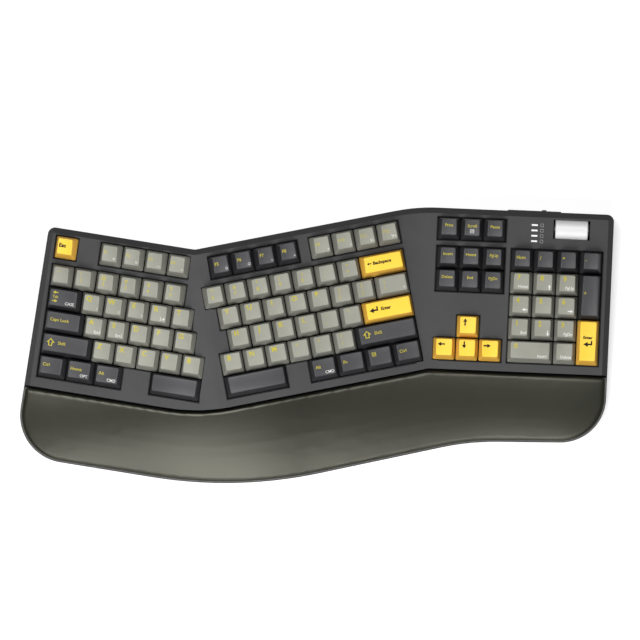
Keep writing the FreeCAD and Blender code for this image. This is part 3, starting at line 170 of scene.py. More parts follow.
def new_finish(name, roughness, metallic=0.0):
    """Material with a Principled shader, its node tree and its object coordinates."""
    material = bpy.data.materials.new(name)
    material.use_nodes = True
    tree = material.node_tree
    shader = tree.nodes["Principled BSDF"]
    shader.inputs["Roughness"].default_value = roughness
    shader.inputs["Metallic"].default_value = metallic
    place = tree.nodes.new("ShaderNodeTexCoord")
    return material, tree, shader, place.outputs["Object"]


def noise(tree, vector, size, detail):
    """Noise whose blobs are about as wide as size."""
    texture = tree.nodes.new("ShaderNodeTexNoise")
    texture.inputs["Scale"].default_value = 1 / size
    texture.inputs["Detail"].default_value = detail
    tree.links.new(vector, texture.inputs["Vector"])
    return texture.outputs["Fac"]


def mixed_colour(tree, factor, first, second):
    """Colour that goes from first to second with a factor."""
    ramp = tree.nodes.new("ShaderNodeValToRGB")
    for element, position, code in zip(ramp.color_ramp.elements, RAMP_ENDS, (first, second)):
        element.position = position
        element.color = shade(code)
    tree.links.new(factor, ramp.inputs["Fac"])
    return ramp.outputs["Color"]


print("#808080 on the screen is", round(shade("#808080")[0], 3), "in linear light")

# %% [markdown]
# Slopes and side walls are to look darker than even light makes them. More lamps could only
# brighten them, so the finish paints shade on them: the piece's own normal says how far a face is
# from level, and a darker second tone, painted shade, takes over on slopes. It is the normal in
# the piece's space, so that the colour stays the same from every side.

# %% Painted shade on slopes
SLOPE_NORMAL = 0.80
LEVEL_NORMAL = 0.94


def painted_slope_shade(tree, level_tone, slope_tone):
    """First tone on faces that look up, and a darker second tone painted on slopes and walls as shade."""
    place = tree.nodes.new("ShaderNodeTexCoord")
    parts = tree.nodes.new("ShaderNodeSeparateXYZ")
    tree.links.new(place.outputs["Normal"], parts.inputs[0])
    level = tree.nodes.new("ShaderNodeMapRange")
    level.inputs["From Min"].default_value = SLOPE_NORMAL
    level.inputs["From Max"].default_value = LEVEL_NORMAL
    tree.links.new(parts.outputs["Z"], level.inputs["Value"])
    mix = tree.nodes.new("ShaderNodeMix")
    mix.data_type = "RGBA"
    tree.links.new(level.outputs["Result"], mix.inputs["Factor"])
    tree.links.new(slope_tone, mix.inputs["A"])
    tree.links.new(level_tone, mix.inputs["B"])
    return mix.outputs["Result"]


print("slopes steeper than", round(math.degrees(math.acos(SLOPE_NORMAL))), "degrees are dark")

# %% [markdown]
# Almost everything here is moulded plastic. A mould with a spark texture leaves a fine grain on
# it, too fine for geometry, so the grain is a shallow bump in the finish. One function makes all
# plastics, because they differ only in colour, gloss, grain and painted shade on slopes.

# %% Moulded plastic
CLOUD = 25 * MM
CLOUD_DETAIL = 3.0
GRAIN_DETAIL = 4.0


def relief(tree, shader, height, depth, strength=1.0):
    """Bump of a given depth on a shader."""
    bump = tree.nodes.new("ShaderNodeBump")
    bump.inputs["Distance"].default_value = depth
    bump.inputs["Strength"].default_value = strength
    tree.links.new(height, bump.inputs["Height"])
    tree.links.new(bump.outputs["Normal"], shader.inputs["Normal"])


def moulded_plastic(name, first, second, roughness, grain, depth, gloss=0.2, slopes=None):
    """Moulded plastic with an uneven tone, a fine spark texture which dulls its gloss, and painted shade on slopes
    when slope tones are given.
    """
    material, tree, shader, place = new_finish(name, roughness)
    shader.inputs["Specular IOR Level"].default_value = gloss
    cloud = noise(tree, place, CLOUD, CLOUD_DETAIL)
    tone = mixed_colour(tree, cloud, first, second)
    # Painted shade: a darker tone takes over on slopes.
    if slopes:
        tone = painted_slope_shade(tree, tone, mixed_colour(tree, cloud, *slopes))
    tree.links.new(tone, shader.inputs["Base Color"])
    relief(tree, shader, noise(tree, place, grain, GRAIN_DETAIL), depth)
    return material


def dress(node, material):
    """Gives a CAD node its finish."""
    piece = frame["nodes"][node]
    piece.data.materials.clear()
    piece.data.materials.append(material)


print("the tone of a plastic changes over about", round(CLOUD / MM), "mm")

# %% [markdown]
# The caps are thick dyed plastic in three colours. Their tops are worn a little smoother than
# a fresh moulding, so the grain is fine and shallow, and their sides get painted shade, a darker
# tone on slopes. The inks are yellow, or black on yellow caps, and white for second words.

# %% Key cap finishes
CAP_GRAIN = 0.35 * MM
CAP_RELIEF = 0.012 * MM
CAP_ROUGHNESS = 0.42
INK_ROUGHNESS = 0.5


def cap_plastic(name, first, second, slopes, gloss=0.2):
    return moulded_plastic(name, first, second, CAP_ROUGHNESS, CAP_GRAIN, CAP_RELIEF,
                           gloss=gloss, slopes=slopes)


def printed_ink(name, first, second):
    return moulded_plastic(name, first, second, INK_ROUGHNESS, CAP_GRAIN, CAP_RELIEF)


# The last pair of colours on each cap is painted shade for its sides.
cap_finish = {
    "key_light": cap_plastic("light_cap", "#929287", "#9c9c91", ("#7b7b73", "#84847b")),
    "key_dark": cap_plastic("dark_cap", "#424244", "#48484a", ("#2c2c2e", "#303032"), gloss=0.3),
    "key_yellow": cap_plastic("yellow_cap", "#fbd145", "#ffd751", ("#d8a642", "#deac4a")),
}
ink = {
    "yellow": printed_ink("yellow_ink", "#b9ac34", "#c3b63e"),
    "white": printed_ink("white_ink", "#dcdcd8", "#e8e8e4"),
    "black": printed_ink("black_ink", "#0c0c0b", "#121211"),
}
print(len(cap_finish), "plastics for caps and", len(ink), "inks")

# %% [markdown]
# The three key blocks lie on tilted parts of the deck. A block's normal is the direction in
# which its keys are pressed, turned round, and each block is also turned in plan. Together
# these give a frame in which every row runs along x.

# %% Block frames
BLOCK_TURN = {"left": -9.1, "middle": 11.0, "right": -2.4}
BLOCK_KEY = {"left": "key_escape", "middle": "key_backspace", "right": "key_arrow_up"}
press_axis = {joint["child"]: Vector(joint["axis"]) for joint in frame["joints"]}


def block_frame(block):
    """Rotation whose columns are a block's row direction, its rearward direction and its normal."""
    normal = -press_axis[BLOCK_KEY[block]]
    turn = math.radians(BLOCK_TURN[block])
    along = Vector((math.cos(turn), math.sin(turn), 0.0))
    along.z = -along.dot(normal) / normal.z
    along.normalize()
    return Matrix((along, normal.cross(along), normal)).transposed()


blocks = {block: block_frame(block) for block in BLOCK_TURN}


def places_of(node, block):
    """Vertices of a CAD node in its block's frame."""
    inward = blocks[block].transposed()
    return [inward @ vertex.co for vertex in frame["nodes"][node].data.vertices]


def span(node, block):
    """Lowest and highest corner of a CAD node in its block's frame."""
    places = places_of(node, block)
    low = Vector([min(place[axis] for place in places) for axis in range(3)])
    high = Vector([max(place[axis] for place in places) for axis in range(3)])
    return low, high


for block, turned in blocks.items():
    print(block, "block leans", round(math.degrees(math.acos(turned.col[2].z)), 1), "degrees")

# %% [markdown]
# Caps have a profile: each row has its own height and its own tilt of the top, so that the rows
# form a shallow bowl under the fingers. The sides draw in towards the top, most at the front.
# How far they draw in is given for one height and grows in step with a cap's own height.

# %% Key cap sizes
PITCH = 19.05 * MM
GAP = 0.95 * MM
DRAFT_HEIGHT = 8.5 * MM
SIDE_DRAFT = 2.65 * MM
REAR_DRAFT = 0.35 * MM
FRONT_DRAFT = 4.4 * MM
DISH = 0.5 * MM
CROWN = 0.55 * MM
ROWS = {
    "number": (9.4 * MM, 6.0),
    "upper": (8.6 * MM, 4.0),
    "home": (7.9 * MM, 1.5),
    "lower": (7.8 * MM, -1.5),
    "bottom": (7.8 * MM, -2.5),
}


class Cap:
    """Shape of one cap about the middle of its skirt."""

    def __init__(self, width_units, depth_units, row, crowned):
        self.width = width_units * PITCH - GAP
        self.depth = depth_units * PITCH - GAP
        self.height, tilt = ROWS[row]
        self.slope = math.tan(math.radians(tilt))
        self.crowned = crowned
        share = self.height / DRAFT_HEIGHT
        self.shift = (FRONT_DRAFT - REAR_DRAFT) * share / 2
        self.half_width = self.width / 2 - SIDE_DRAFT * share
        self.half_depth = (self.depth - (FRONT_DRAFT + REAR_DRAFT) * share) / 2

    def corner(self, side, end):
        """Corner of the top, where the drafted sides meet the tilted top: four rounds settle it."""
        z = self.height
        for _ in range(4):
            share = z / DRAFT_HEIGHT
            x = side * (self.width / 2 - SIDE_DRAFT * share)
            if end > 0:
                y = self.depth / 2 - REAR_DRAFT * share
            else:
                y = FRONT_DRAFT * share - self.depth / 2
            z = self.height + (y - self.shift) * self.slope
        return Vector((x, y, z))

    def bend(self, x, y):
        """How far the top lies over its rim: a trough on a key, a crown on a space key."""
        if self.crowned:
            across = min(abs(y - self.shift) / self.half_depth, 1.0)
            return CROWN * (1 - across ** 2)
        across = min(abs(x) / self.half_width, 1.0)
        return -DISH * (1 - across ** 2)

    def top(self, x, y):
        """Height of the top at a place."""
        return self.height + (y - self.shift) * self.slope + self.bend(x, y)


trial = Cap(1, 1, "home", False)
print("a home row cap is", round(trial.width / MM, 1), "mm wide and its top",
      round(2 * trial.half_width / MM, 1), "mm")

# %% [markdown]
# A cap starts as a cube whose corners move to the drafted outline. Its upright edges are
# rounded, because a moulded cap has no sharp ones, and parallel cuts give the top enough points
# to take its trough. A cube and cuts keep the faces few, which counts on a hundred caps.

# %% Key cap block
STRIPS = 8
CORNER = 1.2 * MM
UPRIGHT = 4 * MM
CUT_SLACK = 1e-7


def rounded(shape, edges, radius, clamp=False):
    """Rounds edges with three segments."""
    bmesh.ops.bevel(shape, geom=edges, offset=radius, offset_type="OFFSET", segments=3,
                    profile=0.5, affect="EDGES", clamp_overlap=clamp, material=-1)


def drafted_block(cap):
    """Bmesh of a cap's outer faces, still with a flat top and a sharp rim."""
    shape = bmesh.new()
    for vertex in bmesh.ops.create_cube(shape, size=1.0)["verts"]:
        side = math.copysign(1, vertex.co.x)
        end = math.copysign(1, vertex.co.y)
        if vertex.co.z > 0:
            vertex.co = cap.corner(side, end)
        else:
            vertex.co = Vector((side * cap.width / 2, end * cap.depth / 2, 0))
    upright = [edge for edge in shape.edges
               if abs(edge.verts[0].co.z - edge.verts[1].co.z) > UPRIGHT]
    rounded(shape, upright, CORNER)
    return shape


def cut_strips(shape, cap):
    """Parallel cuts across the top, in the direction in which it bends."""
    normal = Vector((0, 1, 0)) if cap.crowned else Vector((1, 0, 0))
    centre = Vector((0, cap.shift, 0)) if cap.crowned else Vector((0, 0, 0))
    half = cap.half_depth if cap.crowned else cap.half_width
    for number in range(1, STRIPS):
        place = centre + normal * (half * (2 * number / STRIPS - 1))
        everything = shape.verts[:] + shape.edges[:] + shape.faces[:]
        bmesh.ops.bisect_plane(shape, geom=everything, plane_co=place, plane_no=normal,
                               dist=CUT_SLACK)


shape = drafted_block(trial)
cut_strips(shape, trial)
print("the cut block has", len(shape.faces), "faces")
shape.free()

# %% [markdown]
# The top is bent next. The underside is inset by the wall and pushed up into a hollow that
# draws in like the outside does. The rim's edges are picked out while the block is plain, and
# rounded last.

# %% Key cap mesh
WALL = 1.3 * MM
RIM = 0.45 * MM
ROOF_DEPTH = 3.3 * MM
LOOKS_UP = 0.9
SHARP = math.radians(32)


def hollow_out(shape, cap):
    """Insets the underside of a cap and pushes it up to the roof."""
    underside = [face for face in shape.faces if face.normal.z < -LOOKS_UP]
    bmesh.ops.inset_region(shape, faces=underside, thickness=WALL, use_even_offset=True)
    raised = bmesh.ops.extrude_face_region(shape, geom=underside)["geom"]
    bmesh.ops.delete(shape, geom=underside, context="FACES_ONLY")
    roof = cap.height - ROOF_DEPTH
    share = roof / DRAFT_HEIGHT
    narrower = 1 - SIDE_DRAFT * share / (cap.width / 2)
    shorter = 1 - (FRONT_DRAFT + REAR_DRAFT) * share / cap.depth
    for vertex in [item for item in raised if isinstance(item, bmesh.types.BMVert)]:
        vertex.co.x *= narrower
        vertex.co.y = vertex.co.y * shorter + cap.shift * share
        vertex.co.z = roof


def mesh_of(shape, name):
    """Mesh of a bmesh, which is freed."""
    mesh = bpy.data.meshes.new(name)
    shape.to_mesh(mesh)
    shape.free()
    return mesh


def cap_mesh(cap):
    """Mesh of one hollow cap about the middle of its skirt."""
    shape = drafted_block(cap)
    cut_strips(shape, cap)
    shape.normal_update()
    rim = [edge for edge in shape.edges if len(edge.link_faces) == 2
           and max(face.normal.z for face in edge.link_faces) > LOOKS_UP
           and min(face.normal.z for face in edge.link_faces) < LOOKS_UP]
    tops = [face for face in shape.faces if face.normal.z > LOOKS_UP]
    for vertex in {vertex for face in tops for vertex in face.verts}:
        vertex.co.z += cap.bend(vertex.co.x, vertex.co.y)
    hollow_out(shape, cap)
    rounded(shape, [edge for edge in rim if edge.is_valid], RIM, clamp=True)
    shape.normal_update()
    for face in shape.faces:
        face.smooth = True
    for edge in shape.edges:
        edge.smooth = len(edge.link_faces) == 2 and edge.calc_face_angle() < SHARP
    return mesh_of(shape, "cap")


mesh = cap_mesh(trial)
print("a home row cap has", len(mesh.polygons), "faces")
bpy.data.meshes.remove(mesh)

# %% [markdown]
# The layout below names each CAD node of keys with its block, its row, the widths of its keys
# and what is on them. The second part of a legend, where it has one, is small and white in the
# lower right corner. Signs other than the plain arrows are letters of Blender's own font.

# %% Key layout
LAYOUT = {
    "key_escape": ("left", "number", [1], ["Esc"]),
    "function_keys_left": ("left", "number", [1] * 4,
                           [("F1", "☼"), ("F2", "☼"), ("F3", "▭"), ("F4", "≡")]),
    "number_keys_left": ("left", "number", [1] * 6,
                         ["~\n`", "!\n1", "@\n2", "#\n3", "$\n4", "%\n5"]),
    "key_tab": ("left", "upper", [1.5], [("←\nTab\n→", "CASE")]),
    "letter_keys_top_left": ("left", "upper", [1] * 5,
                             [("Q", "1"), ("W", "2"), ("E", "3"), ("R", "2.4"), "T"]),
    "key_caps_lock": ("left", "home", [1.75], ["Caps Lock"]),
    "letter_keys_home_left": ("left", "home", [1] * 5,
                              [("A", "Sys1"), ("S", "Sys2"), "D", "F", "G"]),
    "key_shift_left": ("left", "lower", [2.25], ["⇧ Shift"]),
    "letter_keys_low_left": ("left", "lower", [1] * 5, ["Z", "X", "C", "V", "B"]),
    "modifier_keys_left": ("left", "bottom", [1.25] * 3, ["Ctrl", ("Home", "OPT"), ("Alt", "CMD")]),
    "key_space_left": ("left", "bottom", [2.25], [""]),
    "function_keys_middle": ("middle", "number", [1] * 4,
                             [("F5", "○"), ("F6", "○"), ("F7", "«"), ("F8", "»")]),
    "function_keys_right": ("middle", "number", [1] * 4,
                            [("F9", "»"), ("F10", "♪"), ("F11", "V-"), ("F12", "V+")]),
    "number_keys_right": ("middle", "number", [1] * 7,
                          ["^\n6", "&\n7", "*\n8", "(\n9", ")\n0", "_\n-", "+\n="]),
    "key_backspace": ("middle", "number", [2], ["← Backspace"]),
    "letter_keys_top_right": ("middle", "upper", [1] * 7,
                              ["Y", "U", "I", "O", "P", "{\n[", "}\n]"]),
    "key_backslash": ("middle", "upper", [1.5], [("|\n\\", "≡")]),
    "letter_keys_home_right": ("middle", "home", [1] * 6, ["H", "J", "K", "L", ":\n;", "\"\n'"]),
    "key_enter": ("middle", "home", [2.25], ["↵ Enter"]),
    "letter_keys_low_right": ("middle", "lower", [1] * 6, ["B", "N", "M", "<\n,", ">\n.", "?\n/"]),
    "key_shift_right": ("middle", "lower", [2.75], ["⇧ Shift"]),
    "key_space_right": ("middle", "bottom", [2.75], [""]),
    "modifier_keys_right": ("middle", "bottom", [1.25] * 4, [("Alt", "CMD"), "Fn", "▤", "Ctrl"]),
    "system_keys": ("right", "number", [1] * 3, ["Print", ("Scroll", "▤"), "Pause"]),
    "edit_keys_upper": ("right", "number", [1] * 3, ["Insert", "Home", "PgUp"]),
    "edit_keys_lower": ("right", "upper", [1] * 3, ["Delete", "End", "PgDn"]),
    "key_arrow_up": ("right", "lower", [1], ["↑"]),
    "key_arrow_left": ("right", "bottom", [1], ["←"]),
    "key_arrow_down": ("right", "bottom", [1], ["↓"]),
    "key_arrow_right": ("right", "bottom", [1], ["→"]),
    "pad_operator_keys": ("right", "number", [1] * 4, ["Num", "/", "*", "-"]),
    "pad_keys_upper": ("right", "upper", [1] * 3, [("7", "Home"), ("8", "↑"), ("9", "PgUp")]),
    "pad_keys_middle": ("right", "home", [1] * 3, [("4", "←"), "5", ("6", "→")]),
    "pad_keys_lower": ("right", "lower", [1] * 3, [("1", "End"), ("2", "↓"), ("3", "PgDn")]),
    "key_pad_plus": ("right", "upper", [1], ["+"]),
    "key_pad_enter": ("right", "lower", [1], ["Enter\n↵"]),
    "key_pad_zero": ("right", "bottom", [2], [("0", "Insert")]),
    "key_pad_point": ("right", "bottom", [1], [(".", "Delete")]),
}
SPACE_KEYS = ("key_space_left", "key_space_right")
TALL_KEYS = ("key_pad_plus", "key_pad_enter")
print(sum(len(widths) for _, _, widths, _ in LAYOUT.values()), "keys in", len(LAYOUT), "CAD nodes")

# %% [markdown]
# The CAD cap's skirt says where a key sits: its lowest and outermost points are the same ones on
# the real moulding, where the skirt's edge is the parting line. The level is read at the left
# end, where there is nothing but the skirt.

# %% Where the keys sit
SKIRT_REACH = 0.1 * MM


def key_places(node):
    """Every key of a node: its cap, the matrix that places it and its legend."""
    block, row, widths, legends = LAYOUT[node]
    low, high = span(node, block)
    level = min(place.z for place in places_of(node, block) if place.x < low.x + SKIRT_REACH)
    depth_units = 2 if node in TALL_KEYS else 1
    start = low.x - GAP / 2
    keys = []
    for width, legend in zip(widths, legends):
        centre = Vector((start + width * PITCH / 2, (low.y + high.y) / 2, level))
        start += width * PITCH
        cap = Cap(width, depth_units, row, node in SPACE_KEYS)
        place = Matrix.Translation(blocks[block] @ centre) @ blocks[block].to_4x4()
        keys.append((cap, place, legend))
    return keys


escape_place = key_places("key_escape")[0][1].translation
print("the Esc cap stands at", [round(value / MM, 1) for value in escape_place], "mm")

# %% [markdown]
# Each CAD node of keys becomes one piece with all its caps. The piece rides on the node's body,
# so a press moves it, and it takes the place of the plain CAD caps.

# %% Build the caps
bodies = frame["record"]["behaviour"]["bodies"]
body_of = {node: body for body, nodes in bodies.items() for node in nodes}
slot_of = {part["node"]: part["material_slot"] for part in frame["record"]["subparts"]}


def add_piece(name, shape, material, body):
    """Object from a bmesh, with its finish, on its CAD body."""
    piece = add_object(name, mesh_of(shape, name))
    piece.data.materials.append(material)
    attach(piece, body)
    return piece


for node in LAYOUT:
    shape = bmesh.new()
    for cap, place, _ in key_places(node):
        mesh = cap_mesh(cap)
        mesh.transform(place)
        shape.from_mesh(mesh)
        bpy.data.meshes.remove(mesh)
    caps = add_piece(node + "_caps", shape, cap_finish[slot_of[node]], body_of[node])
    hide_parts(node)
print("built", len(LAYOUT), "pieces of caps")

# %% [markdown]
# Legends lie in the top of a cap. Letters are large and high in a column at the left, function
# names are small and half way down, and the second parts are white and low on the right. A few
# keys have their words in the middle. Places are shares of the top's half width and half depth.

# %% Legend sizes and places
LETTER = 5.8 * MM
SIGN = 4.4 * MM
WORD = 3.75 * MM
CENTRED_WORD = 3.45 * MM
CORNER_WORD = 3.4 * MM
CORNER_SIGN = 2.6 * MM
ESCAPE_WORD = 4.6 * MM
TAB_WORD = 3.2 * MM
TAB_ARROW = 4.6 * MM
LEAD_ARROW = 3.8 * MM
CORNER_ARROW = 4.4 * MM
KEY_ARROW = 6.1 * MM
ARROW = {"↑": KEY_ARROW, "↓": KEY_ARROW, "←": KEY_ARROW, "→": KEY_ARROW,
         "⇧": 7.8 * MM, "↵": 7.4 * MM, "▤": 4.6 * MM}
ARROW_TURN = {"←": 0, "↓": 90, "→": 180, "↑": 270, "↵": 0}
LEFT_COLUMN = 4.2 * MM
CENTRED = ("system_keys", "edit_keys_upper", "edit_keys_lower", "key_pad_enter")
CENTRED_UP, CENTRED_STEP, CENTRED_SECOND = 0.2, 0.32, -0.5
TAB_LEFT = -0.84
TAB_LINES = ((TAB_ARROW, 0.62), (TAB_WORD, 0.08), (TAB_ARROW, -0.46))
SIGNS_UP = (0.5, -0.32)
LEAD_LEFT, LEAD_UP = -0.88, 0.1
ARROW_UP = 0.36
LETTER_UP = 0.52
WORD_LEFT, WORD_UP = -0.8, 0.12
SECOND_RIGHT, SECOND_UP = 0.86, -0.62


def main_marks(node, main, tone):
    """The first part of a legend: text, size, place across and up the top, side and ink."""
    lines = main.split("\n")
    if node in CENTRED:
        return [(text, ARROW.get(text, CENTRED_WORD), 0.0, CENTRED_UP - CENTRED_STEP * line,
                 "CENTER", tone) for line, text in enumerate(lines)]
    if len(lines) == len(TAB_LINES):
        return [(text, size, TAB_LEFT, up, "LEFT", tone)
                for text, (size, up) in zip(lines, TAB_LINES)]
    if len(lines) == len(SIGNS_UP):
        return [(text, SIGN, 0.0, up, "COLUMN", tone) for text, up in zip(lines, SIGNS_UP)]
    if " " in main and main[0] in ARROW:
        lead = LEAD_ARROW if main[0] == "←" else ARROW[main[0]]
        return [(main[0], lead, LEAD_LEFT, LEAD_UP, "LEFT", tone),
                (main[2:], WORD, LEAD_LEFT, LEAD_UP, "AFTER", tone)]
    if main in ARROW:
        return [(main, ARROW[main], 0.0, ARROW_UP, "COLUMN", tone)]
    if len(main) == 1 and main.isalnum():
        return [(main, LETTER, 0.0, LETTER_UP, "COLUMN", tone)]
    if main:
        size = SIGN if len(main) == 1 else ESCAPE_WORD if tone == "black" else WORD
        return [(main, size, WORD_LEFT, WORD_UP, "LEFT", tone)]
    return []


def legend_marks(node, legend):
    """All marks on a cap: those of the first part and the white one of the second."""
    main, second = legend if isinstance(legend, tuple) else (legend, "")
    marks = main_marks(node, main, "black" if slot_of[node] == "key_yellow" else "yellow")
    if second and node in CENTRED:
        marks.append((second, CORNER_ARROW, 0.0, CENTRED_SECOND, "CENTER", "white"))
    elif second:
        size = CORNER_WORD if len(second) > 1 else CORNER_SIGN
        if second in ARROW_TURN:
            size = CORNER_ARROW
        marks.append((second, size, SECOND_RIGHT, SECOND_UP, "RIGHT", "white"))
    return marks


print("the Tab key has", len(legend_marks("key_tab", LAYOUT["key_tab"][3][0])), "marks")

# %% [markdown]
# A mark is a word of the font, made into a thin mesh, and its outline is pushed out a little
# where the print is bold. The font's arrows are thinner than the printed ones, so those are
# drawn: a triangle, a bar and, on the return sign, an upright bar at the end.

# %% Words and arrows
BOLD = {"yellow": 0.012, "white": 0.006, "black": 0.045}
LETTER_BOLD = 0.035
ARROW_HEAD = 0.33
ARROW_BAR = (0.20, 0.0, 0.60, 0.19)
RETURN_BAR = (0.415, 0.16, 0.17, 0.49)


def word_mesh(text, size, bold):
    """Flat mesh of a word with its left end and its baseline at the origin."""
    words = bpy.data.curves.new("words", "FONT")
    words.body = text
    words.size = size
    words.offset = bold * size
    words.resolution_u = 3
    holder = bpy.data.objects.new("words", words)
    mesh = bpy.data.meshes.new_from_object(holder)
    bpy.data.objects.remove(holder)
    bpy.data.curves.remove(words)
    return mesh


def arrow_mesh(length, sign):
    """Flat arrow about its middle. A bar has its middle, width and height in shares of length."""
    shape = bmesh.new()
    head = ARROW_HEAD * length
    place = Matrix.Translation((head - length / 2, 0, 0)) @ Matrix.Rotation(math.pi / 2, 4, "Z")
    bmesh.ops.create_circle(shape, cap_ends=True, segments=3, radius=head, matrix=place)
    for bar in (ARROW_BAR, RETURN_BAR) if sign == "↵" else (ARROW_BAR,):
        x, y, width, height = [share * length for share in bar]
        place = Matrix.Translation((x, y, 0)) @ Matrix.Diagonal((width, height, 1, 1))
        bmesh.ops.create_grid(shape, x_segments=1, y_segments=1, size=0.5, matrix=place)
    turn = Matrix.Rotation(math.radians(ARROW_TURN[sign]), 4, "Z")
    bmesh.ops.transform(shape, matrix=turn, verts=shape.verts[:])
    return mesh_of(shape, "arrow")


mesh = arrow_mesh(KEY_ARROW, "↵")
print("the return arrow has", len(mesh.polygons), "faces")
bpy.data.meshes.remove(mesh)

# %% [markdown]
# Each mark moves to its place on the top and is then dropped onto the top's trough, point by
# point, so that it follows the surface a hair above it. All marks of a node in one ink are one
# piece on the node's body.

# %% Print the legends
CAPITAL = 0.69
WORD_GAP = 0.35
LIFT = 0.03 * MM


def printed_mark(mark, cap, after):
    """Mesh of a mark on a cap's top, and how far on a word may start after it."""
    text, size, across, up, side, tone = mark
    if text in ARROW_TURN:
        mesh = arrow_mesh(size, text)
    else:
        mesh = word_mesh(text, size, LETTER_BOLD if size == LETTER else BOLD[tone])
    columns = [vertex.co.x for vertex in mesh.vertices]
    rows = [vertex.co.y for vertex in mesh.vertices]
    left, right = min(columns), max(columns)
    middle = (min(rows) + max(rows)) / 2 if text in ARROW else size * CAPITAL / 2
    centred = -(left + right) / 2
    x = {"LEFT": -left, "CENTER": centred, "COLUMN": centred, "RIGHT": -right,
         "AFTER": after - left}[side]
    x += LEFT_COLUMN - cap.half_width if side == "COLUMN" else across * cap.half_width
    y = cap.shift + up * cap.half_depth - middle
    for vertex in mesh.vertices:
        vertex.co.x += x
        vertex.co.y += y
        vertex.co.z = cap.top(vertex.co.x, vertex.co.y) + LIFT
    return mesh, right - left + size * WORD_GAP


count = 0
for node in LAYOUT:
    inks = {}
    for cap, place, legend in key_places(node):
        after = 0.0
        for mark in legend_marks(node, legend):
            mesh, after = printed_mark(mark, cap, after)
            mesh.transform(place)
            inks.setdefault(mark[-1], bmesh.new()).from_mesh(mesh)
            bpy.data.meshes.remove(mesh)
            count += 1
    for tone, shape in inks.items():
        add_piece(node + "_legends_" + tone, shape, ink[tone], body_of[node])
print("printed", count, "marks")

# %% [markdown]
# The case is one dark moulding with a fine spark texture. Its deck takes the light of the softbox
# and looks grey, and its slopes get painted shade, a darker tone. The bottom tray is the same
# plastic, a little rougher. The plates, boards, housings and the battery lie under the keys or
# inside, so they take plain finishes, as the feet and the lenses do.

# %% Case finishes
# The slopes pair of the case is painted shade on its walls and rims.
case_plastic = moulded_plastic("case_plastic", "#39393a", "#3e3e3f", 0.46, 0.30 * MM, 0.012 * MM,
                               gloss=0.3, slopes=("#28282a", "#2c2c2e"))
tray_plastic = moulded_plastic("tray_plastic", "#2a2a2b", "#303031", 0.55, 0.40 * MM, 0.020 * MM)
plate_finish = moulded_plastic("plate_finish", "#101011", "#161617", 0.5, 0.8 * MM, 0.010 * MM)
board_finish = moulded_plastic("board_finish", "#0f1f16", "#14281d", 0.45, 1.5 * MM, 0.010 * MM)
housing_plastic = moulded_plastic("housing_plastic", "#141415", "#1b1b1c", 0.4, 0.5 * MM,
                                  0.010 * MM)
rubber = moulded_plastic("rubber", "#151515", "#1c1c1c", 0.85, 0.6 * MM, 0.030 * MM)
battery_wrap = moulded_plastic("battery_wrap", "#7d8288", "#8c9197", 0.35, 2.0 * MM, 0.010 * MM)
lens_plastic = moulded_plastic("lens_plastic", "#f2f2f0", "#fbfbfa", 0.35, 0.5 * MM, 0.004 * MM)
FINISH_OF = {
    "deck": case_plastic, "tray": tray_plastic, "plate": plate_finish, "board": board_finish,
    "housing": housing_plastic, "foot": rubber, "battery": battery_wrap, "lens": lens_plastic,
    "knob": housing_plastic, "bracket": housing_plastic,
}
dressed = [node for node, slot in slot_of.items() if slot in FINISH_OF]
for node in dressed:
    dress(node, FINISH_OF[slot_of[node]])
print(len(dressed), "CAD nodes have a plastic or rubber finish")

# %% [markdown]
# The edge of each key well gets a narrow black line of painted shade, where the deck turns down
# into the well. To find the wells, a copy of the case is merged and the flat deck of each block is
# picked out of it, as the level that holds most of its area. The edges at which the deck turns
# down beside a key are the edges of the wells.

# %% Find the wells
WELL_REACH = 3.0 * MM
FLAT = 0.9995
STEEP = 0.3
LEVEL_STEP = 0.02 * MM
SAME_PLACE = 0.01 * MM
SAME_POINT = 0.001 * MM
extents = {node: span(node, layout[0]) for node, layout in LAYOUT.items()}


def merged_copy(node):
    """Bmesh of a CAD node whose loose triangles are joined."""
    shape = bmesh.new()
    shape.from_mesh(frame["nodes"][node].data)
    bmesh.ops.remove_doubles(shape, verts=shape.verts[:], dist=SAME_POINT)
    return shape


def deck_faces(shape, block):
    """Faces of a block's deck, and its level along the block's normal."""
    normal = blocks[block].col[2]
    levels = {}
    for face in shape.faces:
        if face.normal.dot(normal) > FLAT:
            level = round(face.calc_center_median().dot(normal) / LEVEL_STEP)
            levels.setdefault(level, []).append(face)
    deck = max(levels, key=lambda level: sum(face.calc_area() for face in levels[level]))
    near = [face for level in (deck - 1, deck, deck + 1) for face in levels.get(level, [])]
    return near, deck * LEVEL_STEP


def beside_keys(point, block):
    """Whether a point of a block's deck lies close to one of its keys."""
    place = blocks[block].transposed() @ point
    for node, (home, *_) in LAYOUT.items():
        low, high = extents[node]
        if home == block and all(low[axis] - WELL_REACH < place[axis] < high[axis] + WELL_REACH
                                 for axis in (0, 1)):
            return True
    return False


def middle_of(edge):
    return (edge.verts[0].co + edge.verts[1].co) / 2


def rough_place(edge):
    """Middle of an edge in coarse steps, so that two edges at one place give the same."""
    return tuple(round(value / SAME_PLACE) for value in middle_of(edge))


def well_places(shape, deck, block):
    """Rough places of the edges at which a block's deck turns down beside its keys."""
    inside = set(deck)
    normal = blocks[block].col[2]
    places = set()
    for edge in shape.edges:
        outer = [face for face in edge.link_faces if face not in inside]
        turned_down = (len(edge.link_faces) == 2 and len(outer) == 1
                       and abs(outer[0].normal.dot(normal)) < STEEP)
        if turned_down and beside_keys(middle_of(edge), block):
            places.add(rough_place(edge))
    return places


print("the case has", len(frame["nodes"]["top_case"].data.polygons), "loose triangles")

# %% [markdown]
# An inset of the deck leaves a ribbon of faces along every opening. The ribbons beside keys are
# kept as painted shade and lifted a hair above the deck, and everything else of the copy goes.

# %% Painted shade at the well edges
WELL_LINE = 1.1 * MM


